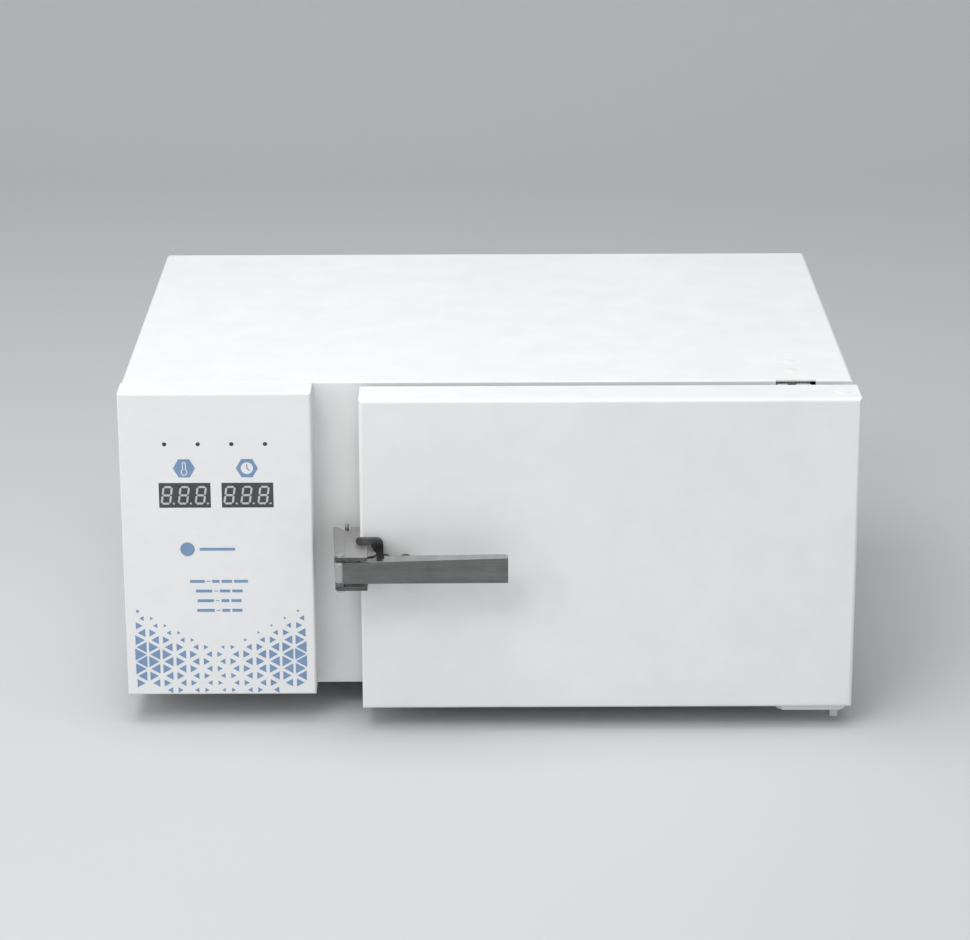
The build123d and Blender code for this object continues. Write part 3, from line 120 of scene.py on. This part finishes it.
def ranged(tree, value, low, high, to_low=0.0, to_high=1.0):
    """A value stretched from one range to another, with sockets or numbers for the new ends."""
    span = tree.nodes.new("ShaderNodeMapRange")
    tree.links.new(value, span.inputs["Value"])
    span.inputs["From Min"].default_value = low
    span.inputs["From Max"].default_value = high
    for label, end in (("To Min", to_low), ("To Max", to_high)):
        if isinstance(end, (int, float)):
            span.inputs[label].default_value = end
        else:
            tree.links.new(end, span.inputs[label])
    return span.outputs["Result"]


def sums(tree, operation, first, second):
    """A Math node on two sockets or numbers."""
    node = tree.nodes.new("ShaderNodeMath")
    node.operation = operation
    for place, term in enumerate((first, second)):
        if isinstance(term, (int, float)):
            node.inputs[place].default_value = term
        else:
            tree.links.new(term, node.inputs[place])
    return node.outputs[0]


def place_coordinates(tree):
    """Object coordinates, which stay on a piece as it moves."""
    return tree.nodes.new("ShaderNodeTexCoord").outputs["Object"]


def powder_coat_group():
    """The fine peel of a baked coat, its slow clouding and the grain in its gloss."""
    tree, given, made = new_group("powder_coat", {"Peel Scale": 900.0, "Gloss Low": 0.3, "Gloss High": 0.45})
    place = place_coordinates(tree)
    peel = noise_node(tree, place, given["Peel Scale"], 1.5, 0.45)
    grain = noise_node(tree, place, sums(tree, "MULTIPLY", given["Peel Scale"], 3.1), 1.0)
    cloud = noise_node(tree, place, 7.0, 3.0, 0.6)
    patches = noise_node(tree, place, 38.0, 2.0, 0.6)
    tree.links.new(ranged(tree, sums(tree, "ADD", cloud, patches), 0.7, 1.3), made["Tone"])
    worn = sums(tree, "ADD", sums(tree, "MULTIPLY", grain, 0.5), sums(tree, "MULTIPLY", patches, 0.5))
    tree.links.new(ranged(tree, worn, 0.35, 0.65, given["Gloss Low"], given["Gloss High"]), made["Gloss"])
    tree.links.new(sums(tree, "ADD", peel, sums(tree, "MULTIPLY", grain, 0.25)), made["Relief"])
    return tree


def brushed_group():
    """The fine lines that an abrasive belt leaves along one direction."""
    tree, given, made = new_group(
        "brushed_lines",
        {"Line Scale": (20.0, 1800.0, 1800.0), "Gloss Low": 0.25, "Gloss High": 0.5},
    )
    mapping = tree.nodes.new("ShaderNodeMapping")
    tree.links.new(place_coordinates(tree), mapping.inputs["Vector"])
    tree.links.new(given["Line Scale"], mapping.inputs["Scale"])
    lines = noise_node(tree, mapping.outputs["Vector"], 1.0, 3.0, 0.65)
    broad = noise_node(tree, mapping.outputs["Vector"], 0.18, 2.0)
    stain = noise_node(tree, place_coordinates(tree), 55.0, 3.0, 0.6)
    both = sums(tree, "ADD", sums(tree, "MULTIPLY", lines, 0.6), sums(tree, "MULTIPLY", broad, 0.4))
    blotched = sums(tree, "ADD", sums(tree, "MULTIPLY", both, 0.65), sums(tree, "MULTIPLY", stain, 0.35))
    tree.links.new(ranged(tree, blotched, 0.36, 0.64), made["Tone"])
    tree.links.new(ranged(tree, both, 0.35, 0.65, given["Gloss Low"], given["Gloss High"]), made["Gloss"])
    tree.links.new(both, made["Relief"])
    return tree


def moulded_group():
    """The spark-eroded grain of a moulded plastic or rubber, with dull patches from handling."""
    tree, given, made = new_group(
        "moulded_grain", {"Grain Scale": 1500.0, "Gloss Low": 0.4, "Gloss High": 0.6}
    )
    place = place_coordinates(tree)
    grain = noise_node(tree, place, given["Grain Scale"], 2.0, 0.6)
    patches = noise_node(tree, place, 60.0, 3.0, 0.65)
    tree.links.new(ranged(tree, patches, 0.3, 0.7), made["Tone"])
    mixed = sums(tree, "ADD", sums(tree, "MULTIPLY", grain, 0.4), sums(tree, "MULTIPLY", patches, 0.6))
    tree.links.new(ranged(tree, mixed, 0.35, 0.65, given["Gloss Low"], given["Gloss High"]), made["Gloss"])
    tree.links.new(grain, made["Relief"])
    return tree


def wool_group():
    """Matted fibres in clumps."""
    tree, given, made = new_group("wool_fibres", {"Fibre Scale": 500.0, "Gloss Low": 0.8, "Gloss High": 0.95})
    place = place_coordinates(tree)
    fibres = noise_node(tree, place, given["Fibre Scale"], 6.0, 0.75)
    clumps = noise_node(tree, place, 45.0, 3.0)
    mixed = sums(tree, "ADD", sums(tree, "MULTIPLY", fibres, 0.5), sums(tree, "MULTIPLY", clumps, 0.5))
    tree.links.new(ranged(tree, mixed, 0.3, 0.7), made["Tone"])
    tree.links.new(ranged(tree, mixed, 0.3, 0.7, given["Gloss Low"], given["Gloss High"]), made["Gloss"])
    tree.links.new(mixed, made["Relief"])
    return tree


powder_coat = powder_coat_group()
brushed_lines = brushed_group()
moulded_grain = moulded_group()
wool_fibres = wool_group()


def finish_of(
    name, dark, light, texture, settings, relief=0.1, depth=0.0002, metallic=0.0, **shader_values
):
    """A material whose colour runs between two shades, with gloss and relief from a shared group."""
    material = bpy.data.materials.new(name)
    material.use_nodes = True
    tree = material.node_tree
    shader = tree.nodes["Principled BSDF"]
    shader.inputs["Metallic"].default_value = metallic
    for label, value in shader_values.items():
        shader.inputs[label.replace("_", " ")].default_value = value
    surface = tree.nodes.new("ShaderNodeGroup")
    surface.node_tree = texture
    for label, value in settings.items():
        surface.inputs[label].default_value = value
    shades = tree.nodes.new("ShaderNodeMix")
    shades.data_type = "RGBA"
    shades.inputs[6].default_value = (*dark, 1)
    shades.inputs[7].default_value = (*light, 1)
    tree.links.new(surface.outputs["Tone"], shades.inputs[0])
    tree.links.new(shades.outputs[2], shader.inputs["Base Color"])
    tree.links.new(surface.outputs["Gloss"], shader.inputs["Roughness"])
    bump = tree.nodes.new("ShaderNodeBump")
    bump.inputs["Strength"].default_value = relief
    bump.inputs["Distance"].default_value = depth
    tree.links.new(surface.outputs["Relief"], bump.inputs["Height"])
    tree.links.new(bump.outputs["Normal"], shader.inputs["Normal"])
    return material


white_enamel = finish_of(
    "white_enamel", (0.80, 0.80, 0.795), (0.84, 0.84, 0.835), powder_coat,
    {"Peel Scale": 850.0, "Gloss Low": 0.5, "Gloss High": 0.62}, relief=0.12,
)
frame_enamel = finish_of(
    "frame_enamel", (0.79, 0.79, 0.785), (0.83, 0.83, 0.825), powder_coat,
    {"Peel Scale": 850.0, "Gloss Low": 0.52, "Gloss High": 0.64}, relief=0.12,
)
zinc_plate = finish_of(
    "zinc_plate", (0.42, 0.43, 0.44), (0.66, 0.66, 0.65), moulded_grain,
    {"Grain Scale": 900.0, "Gloss Low": 0.28, "Gloss High": 0.5}, relief=0.08, metallic=1.0,
)
latch_steel = finish_of(
    "latch_steel", (0.40, 0.40, 0.395), (0.54, 0.54, 0.535), brushed_lines,
    {"Line Scale": (900.0, 60.0, 900.0), "Gloss Low": 0.34, "Gloss High": 0.52}, relief=0.1, metallic=1.0,
)
# Painted shade: a darker copy of the latch steel for the lever's front, sides and underside
lever_steel = finish_of(
    "lever_steel", (0.15, 0.15, 0.148), (0.24, 0.24, 0.237), brushed_lines,
    {"Line Scale": (50.0, 1500.0, 1500.0), "Gloss Low": 0.3, "Gloss High": 0.5}, relief=0.1, metallic=1.0,
)
# Dark steel of the latch bracket, darkened further as painted shade of its upright face; it also serves as
# painted shade on the latch housing
dark_steel_and_shade = finish_of(
    "dark_steel_and_shade", (0.08, 0.08, 0.082), (0.17, 0.17, 0.17), moulded_grain,
    {"Grain Scale": 1100.0, "Gloss Low": 0.3, "Gloss High": 0.48}, relief=0.1, metallic=1.0,
)
chamber_steel = finish_of(
    "chamber_steel", (0.50, 0.50, 0.495), (0.64, 0.64, 0.63), brushed_lines,
    {"Line Scale": (25.0, 25.0, 1300.0), "Gloss Low": 0.24, "Gloss High": 0.4}, relief=0.08, metallic=1.0,
)
heater_sheath = finish_of(
    "heater_sheath", (0.22, 0.20, 0.19), (0.38, 0.36, 0.34), moulded_grain,
    {"Grain Scale": 700.0, "Gloss Low": 0.35, "Gloss High": 0.6}, relief=0.12, metallic=1.0,
)
tray_metal = finish_of(
    "tray_metal", (0.66, 0.67, 0.68), (0.78, 0.79, 0.80), brushed_lines,
    {"Line Scale": (30.0, 1200.0, 1200.0), "Gloss Low": 0.3, "Gloss High": 0.46}, relief=0.08, metallic=1.0,
)
mineral_wool = finish_of(
    "mineral_wool", (0.50, 0.44, 0.28), (0.74, 0.68, 0.50), wool_fibres,
    {"Fibre Scale": 600.0, "Gloss Low": 0.85, "Gloss High": 0.97}, relief=0.6, depth=0.001,
)
seal_silicone = finish_of(
    "seal_silicone", (0.60, 0.17, 0.08), (0.70, 0.22, 0.11), moulded_grain,
    {"Grain Scale": 1300.0, "Gloss Low": 0.45, "Gloss High": 0.62}, relief=0.1, Sheen_Weight=0.15,
)
foot_rubber = finish_of(
    "foot_rubber", (0.018, 0.018, 0.019), (0.04, 0.04, 0.041), moulded_grain,
    {"Grain Scale": 1400.0, "Gloss Low": 0.6, "Gloss High": 0.78}, relief=0.2,
)
panel_film = finish_of(
    "panel_film", (0.815, 0.82, 0.82), (0.845, 0.85, 0.85), moulded_grain,
    {"Grain Scale": 2600.0, "Gloss Low": 0.42, "Gloss High": 0.52}, relief=0.06,
)
blue_ink = finish_of(
    "blue_ink", (0.175, 0.285, 0.46), (0.215, 0.335, 0.52), moulded_grain,
    {"Grain Scale": 2600.0, "Gloss Low": 0.45, "Gloss High": 0.55}, relief=0.05,
)
display_glass = finish_of(
    "display_glass", (0.045, 0.052, 0.056), (0.062, 0.07, 0.074), moulded_grain,
    {"Grain Scale": 2200.0, "Gloss Low": 0.28, "Gloss High": 0.4}, relief=0.03,
)
segment_grey = finish_of(
    "segment_grey", (0.50, 0.50, 0.49), (0.60, 0.60, 0.59), moulded_grain,
    {"Grain Scale": 3000.0, "Gloss Low": 0.4, "Gloss High": 0.5}, relief=0.05,
)
lamp_lens = finish_of(
    "lamp_lens", (0.035, 0.018, 0.016), (0.07, 0.03, 0.028), moulded_grain,
    {"Grain Scale": 900.0, "Gloss Low": 0.12, "Gloss High": 0.2}, relief=0.02, Coat_Weight=0.5,
)
board_resin = finish_of(
    "board_resin", (0.02, 0.14, 0.06), (0.035, 0.21, 0.09), brushed_lines,
    {"Line Scale": (400.0, 400.0, 400.0), "Gloss Low": 0.25, "Gloss High": 0.4}, relief=0.1,
)
black_plastic = finish_of(
    "black_plastic", (0.02, 0.02, 0.021), (0.038, 0.038, 0.04), moulded_grain,
    {"Grain Scale": 1600.0, "Gloss Low": 0.35, "Gloss High": 0.52}, relief=0.12,
)
core_varnish = finish_of(
    "core_varnish", (0.10, 0.08, 0.06), (0.20, 0.16, 0.12), brushed_lines,
    {"Line Scale": (30.0, 2200.0, 30.0), "Gloss Low": 0.35, "Gloss High": 0.6}, relief=0.3, metallic=0.6,
)
wire_jacket = finish_of(
    "wire_jacket", (0.32, 0.05, 0.035), (0.42, 0.08, 0.05), moulded_grain,
    {"Grain Scale": 900.0, "Gloss Low": 0.35, "Gloss High": 0.5}, relief=0.08,
)

node_finishes = {
    white_enamel: ("outer_cover", "control_housing", "door_skin", "back_panel", "upper_hinge_bracket",
                   "lower_hinge_bracket", "upper_hinge_pin"),
    frame_enamel: ("front_frame", "base_pan"),
    zinc_plate: ("hinge_screws", "lower_hinge_bolt", "hinge_washer", "hinge_nut_plate", "foot_screws",
                 "cover_screws", "rear_screws", "door_pan_screws", "latch_screws", "board_standoffs",
                 "latch_pivot_pin", "strike_bracket", "strike_pin", "thermal_cutout", "temperature_sensor"),
    latch_steel: ("latch_housing",),
    lever_steel: ("latch_lever",),
    dark_steel_and_shade: ("latch_bracket",),
    chamber_steel: ("chamber_liner", "door_inner_pan", "left_tray_rack", "right_tray_rack"),
    heater_sheath: ("lower_heater", "upper_heater"),
    tray_metal: ("lower_tray", "upper_tray"),
    mineral_wool: ("chamber_insulation", "door_insulation"),
    seal_silicone: ("chamber_seal",),
    foot_rubber: ("front_left_foot", "front_right_foot", "rear_left_foot", "rear_right_foot"),
    panel_film: ("panel_overlay",),
    blue_ink: ("panel_print", "triangle_pattern", "program_button"),
    display_glass: ("temperature_display", "time_display"),
    segment_grey: ("display_digits",),
    lamp_lens: ("status_lamps",),
    board_resin: ("control_board", "relay_board"),
    black_plastic: ("power_inlet", "switch_housing", "power_rocker", "power_relay", "terminal_block",
                    "button_switch"),
    core_varnish: ("transformer",),
    wire_jacket: ("wiring_loom",),
}
finish_by_node = {node: material for material, names in node_finishes.items() for node in names}
for node, material in finish_by_node.items():
    mesh = nodes[node].data
    mesh.materials.clear()
    mesh.materials.append(material)

bodies = frame["record"]["behaviour"]["bodies"]
body_of_node = {name: body for body, names in bodies.items() for name in names}


# Pieces

def add_piece(name, shape, body, material, stands_for=(), crease=30):
    """Makes a finished piece of a bmesh, smooth up to the crease angle, and lets it ride on its body."""
    mesh = bpy.data.meshes.new(name)
    shape.to_mesh(mesh)
    shape.free()
    mesh.materials.append(material)
    mesh.shade_smooth()
    mesh.set_sharp_from_angle(angle=math.radians(crease))
    piece = bpy.data.objects.new(name, mesh)
    bpy.context.collection.objects.link(piece)
    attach(piece, body)
    if stands_for:
        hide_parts(*stands_for)
    return piece


def soften(node, width, segments=2, crease=35):
    """Replaces a node by a copy of itself with its sharp edges rounded, as a press or a mill leaves them."""
    shape = bmesh.new()
    shape.from_mesh(nodes[node].data)
    bmesh.ops.remove_doubles(shape, verts=shape.verts, dist=2e-6)
    bmesh.ops.dissolve_limit(
        shape, angle_limit=math.radians(1), verts=shape.verts, edges=shape.edges,
        use_dissolve_boundaries=False,
    )
    sharp = math.radians(crease)
    edges = [edge for edge in shape.edges if edge.is_manifold and edge.calc_face_angle() > sharp]
    bmesh.ops.bevel(
        shape, geom=edges, offset=width, affect="EDGES", segments=segments, profile=0.5, material=-1,
        clamp_overlap=True,
    )
    piece = add_piece(f"{node}_soft", shape, body_of_node[node], finish_by_node[node], (node,), crease=40)
    weighted = piece.modifiers.new("flat_faces", "WEIGHTED_NORMAL")
    weighted.keep_sharp = True
    return piece


for node, width in {
    "outer_cover": 0.25 * MM, "front_frame": 0.2 * MM, "control_housing": 0.25 * MM, "door_skin": 0.25 * MM,
    "back_panel": 0.2 * MM, "latch_housing": 0.35 * MM, "latch_bracket": 0.5 * MM, "latch_lever": 0.3 * MM,
    "upper_hinge_bracket": 0.3 * MM, "lower_hinge_bracket": 0.3 * MM, "door_inner_pan": 0.2 * MM,
}.items():
    soften(node, width)


def paint_light_and_shade_by_facing(piece, material, wanted):
    """Gives a second material to the faces whose direction is wanted, painting light and shade by the way
    each face points.
    """
    mesh = bpy.data.objects[piece].data
    mesh.materials.append(material)
    for polygon in mesh.polygons:
        if wanted(polygon.normal):
            polygon.material_index = 1


# Painted highlight on the lever's upward faces, which take the lighter latch steel; its other faces keep the
# darker painted-shade copy
paint_light_and_shade_by_facing("latch_lever_soft", latch_steel, lambda normal: normal.z > 0.9)
# Painted shade on the housing's edges, sides and undersides, which take the dark bracket steel
paint_light_and_shade_by_facing("latch_housing_soft", dark_steel_and_shade, lambda normal: normal.z < 0.5)


# Turned feet, pan-head screws and the seal

def box_of(node):
    """The low corner, the high corner and the middle of a node."""
    points = [vertex.co for vertex in nodes[node].data.vertices]
    low = Vector([min(p[axis] for p in points) for axis in range(3)])
    high = Vector([max(p[axis] for p in points) for axis in range(3)])
    return low, high, (low + high) / 2


def turned(profile, segments=48):
    """A closed solid of revolution about Z from pairs of radius and height."""
    shape = bmesh.new()
    points = [shape.verts.new((radius, 0, height)) for radius, height in profile]
    edges = [shape.edges.new(pair) for pair in zip(points, points[1:])]
    bmesh.ops.spin(
        shape, geom=points + edges, cent=(0, 0, 0), axis=(0, 0, 1), angle=math.tau, steps=segments,
        use_merge=True,
    )
    bmesh.ops.remove_doubles(shape, verts=shape.verts, dist=1e-7)
    bmesh.ops.recalc_face_normals(shape, faces=shape.faces)
    return shape


foot_profile = [(r * MM, z * MM) for r, z in (
    (0, 0), (7.2, 0), (8.1, 0.4), (8.6, 1.3), (8.8, 5), (8.4, 5.5), (8.4, 6.3), (8.9, 6.8), (9.2, 12),
    (8.8, 12.5), (8.8, 13.3), (9.4, 13.8), (9.8, 20.8), (9.5, 21.9), (0, 21.9),
)]
for node in node_finishes[foot_rubber]:
    foot = turned(foot_profile)
    bmesh.ops.translate(foot, verts=foot.verts, vec=(*box_of(node)[2].xy, 0))
    add_piece(f"{node}_turned", foot, "cabinet", foot_rubber, (node,))


def screw_head(radius, height):
    """A domed head with a round socket and a thin raised cross over it, standing on Z = 0."""
    dome = [(0, 0), (1, 0), (0.99, 0.35), (0.9, 0.68), (0.7, 0.9), (0.42, 1), (0.36, 1), (0.12, 0.35),
            (0, 0.35)]
    head = turned([(r * radius, z * height) for r, z in dome], 24)
    for turn in (0, 90):
        bar = bmesh.ops.create_cube(head, size=1)["verts"]
        size = Matrix.Diagonal((0.22 * radius, 0.95 * radius, 0.12 * height, 1))
        bmesh.ops.transform(head, verts=bar, matrix=Matrix.Rotation(math.radians(turn), 4, "Z") @ size)
        bmesh.ops.translate(head, verts=bar, vec=(0, 0, 0.97 * height))
    return head


def screw_heads(node, seats, direction, radius, height):
    """Domed heads over the plain heads of a screw node, which stays beneath them."""
    heads = bmesh.new()
    turn = Vector(direction).to_track_quat("Z", "Y").to_matrix().to_4x4()
    for seat in seats:
        head = screw_head(radius, height)
        bmesh.ops.transform(head, matrix=Matrix.Translation(Vector(seat) * MM) @ turn, verts=head.verts)
        part = bpy.data.meshes.new("head")
        head.to_mesh(part)
        head.free()
        heads.from_mesh(part)
        bpy.data.meshes.remove(part)
    add_piece(f"{node}_heads", heads, body_of_node[node], zinc_plate)


back_seats = [(x, back_face, z) for x in back_screw_columns for z in back_screw_rows]
back_seats += [(x, inlet_face, inlet_level) for x in inlet_screw_columns]
bracket_seats = [(x, bracket_face, bracket_level) for x in bracket_screw_columns]
screw_heads("rear_screws", back_seats, (0, 1, 0), 3.7 * MM, 1.9 * MM)
screw_heads("latch_screws", bracket_seats, (0, -1, 0), 3.7 * MM, 1.9 * MM)


def build_seal():
    """A bulb profile run round the chamber's mouth, with mitred corners."""
    low, high, _ = box_of("chamber_seal")
    width, depth = 12 * MM, high.y - low.y
    across = [(0, 0), (1, 0), (1, 0.22), (0.86, 0.3), (0.84, 0.62), (0.72, 0.88), (0.5, 1), (0.28, 0.88),
              (0.16, 0.62), (0.14, 0.3), (0, 0.22)]
    seal = bmesh.new()
    corners = ((low.x, low.z, 1, 1), (high.x, low.z, -1, 1), (high.x, high.z, -1, -1), (low.x, high.z, 1, -1))
    rings = []
    for x, z, side, rise in corners:
        places = [(x + side * a * width, high.y - b * depth, z + rise * a * width) for a, b in across]
        rings.append([seal.verts.new(place) for place in places])
    for n, ring in enumerate(rings):
        following = rings[(n + 1) % 4]
        for k in range(len(across)):
            j = (k + 1) % len(across)
            seal.faces.new((ring[k], ring[j], following[j], following[k]))
    bmesh.ops.recalc_face_normals(seal, faces=seal.faces)
    add_piece("door_seal_bulb", seal, "cabinet", seal_silicone, ("chamber_seal",))


build_seal()


def lever_roll():
    """The rolled end of the lever, which turns about the pivot pin."""
    bore, edge, outside, rounding = 3.5, 3.8, 4.15, 0.3
    profile = [(bore, roll_bottom), (edge, roll_bottom), (outside, roll_bottom + rounding),
               (outside, roll_top - rounding), (edge, roll_top), (bore, roll_top), (bore, roll_bottom)]
    roll = turned([(radius * MM, height * MM) for radius, height in profile])
    bmesh.ops.translate(roll, verts=roll.verts, vec=(pivot_x * MM, pivot_y * MM, 0))
    # The rolled end takes the lighter latch steel rather than the lever's darker copy, a painted highlight on
    # the barrel
    add_piece("lever_rolled_end", roll, "lever", latch_steel)


lever_roll()


def weld_marks():
    """The two faint spots where the hinge arm is welded under the cover."""
    marks = bmesh.new()
    for row in weld_rows:
        spot = bmesh.ops.create_cone(
            marks, cap_ends=True, segments=40, radius1=6 * MM, radius2=5.2 * MM, depth=0.3 * MM
        )["verts"]
        bmesh.ops.translate(marks, verts=spot, vec=(weld_x * MM, row * MM, cabinet_top * MM))
    add_piece("cover_weld_marks", marks, "cabinet", white_enamel)


weld_marks()


# Stage and light

def build_stage():
    """A pale sweep of paper under and behind the cabinet."""
    sweep = bmesh.new()
    start = [sweep.verts.new((-6, -4, 0)), sweep.verts.new((6, -4, 0))]
    edge = sweep.edges.new(start)
    run = bmesh.ops.extrude_edge_only(sweep, edges=[edge])["geom"]
    bmesh.ops.translate(sweep, verts=[v for v in run if isinstance(v, bmesh.types.BMVert)], vec=(0, 5.6, 0))
    edge = [e for e in run if isinstance(e, bmesh.types.BMEdge)]
    bmesh.ops.spin(sweep, geom=edge, cent=(0, 1.6, 1.2), axis=(1, 0, 0), angle=math.radians(90), steps=24)
    top = max(v.co.z for v in sweep.verts)
    edge = [e for e in sweep.edges if all(abs(v.co.z - top) < 1e-5 for v in e.verts)]
    run = bmesh.ops.extrude_edge_only(sweep, edges=edge)["geom"]
    bmesh.ops.translate(sweep, verts=[v for v in run if isinstance(v, bmesh.types.BMVert)], vec=(0, 0, 3))
    bmesh.ops.recalc_face_normals(sweep, faces=sweep.faces)
    mesh = bpy.data.meshes.new("paper_sweep")
    sweep.to_mesh(mesh)
    sweep.free()
    mesh.shade_smooth()
    paper = bpy.data.materials.new("stage_paper")
    paper.use_nodes = True
    paper.node_tree.nodes["Principled BSDF"].inputs["Base Color"].default_value = (0.60, 0.605, 0.61, 1)
    paper.node_tree.nodes["Principled BSDF"].inputs["Roughness"].default_value = 0.8
    mesh.materials.append(paper)
    stage = bpy.data.objects.new("paper_sweep", mesh)
    bpy.context.collection.objects.link(stage)


def add_softbox(name, place, aim, size, watts):
    """A square soft light that looks at a point."""
    light = bpy.data.lights.new(name, "AREA")
    light.shape = "RECTANGLE"
    light.size, light.size_y = size
    light.energy = watts
    lamp = bpy.data.objects.new(name, light)
    lamp.location = place
    lamp.rotation_mode = "QUATERNION"
    lamp.rotation_quaternion = (Vector(aim) - Vector(place)).to_track_quat("-Z", "Y")
    bpy.context.collection.objects.link(lamp)


build_stage()
add_softbox("top_softbox", (-0.25, -0.35, 1.9), (0, 0, 0.15), (1.6, 1.2), 17.5)
add_softbox("left_softbox", (-1.7, -1.5, 1.2), (0, -0.1, 0.12), (1.2, 1.2), 10)
add_softbox("front_softbox", (-0.7, -1.7, 1.9), (0, -0.15, 0.12), (0.7, 0.6), 11)

world = bpy.data.worlds.new("studio_air")
world.use_nodes = True
world.node_tree.nodes["Background"].inputs["Color"].default_value = (0.95, 0.97, 1.0, 1)
world.node_tree.nodes["Background"].inputs["Strength"].default_value = 0.58
bpy.context.scene.world = world
bpy.context.scene.view_settings.view_transform = "Standard"
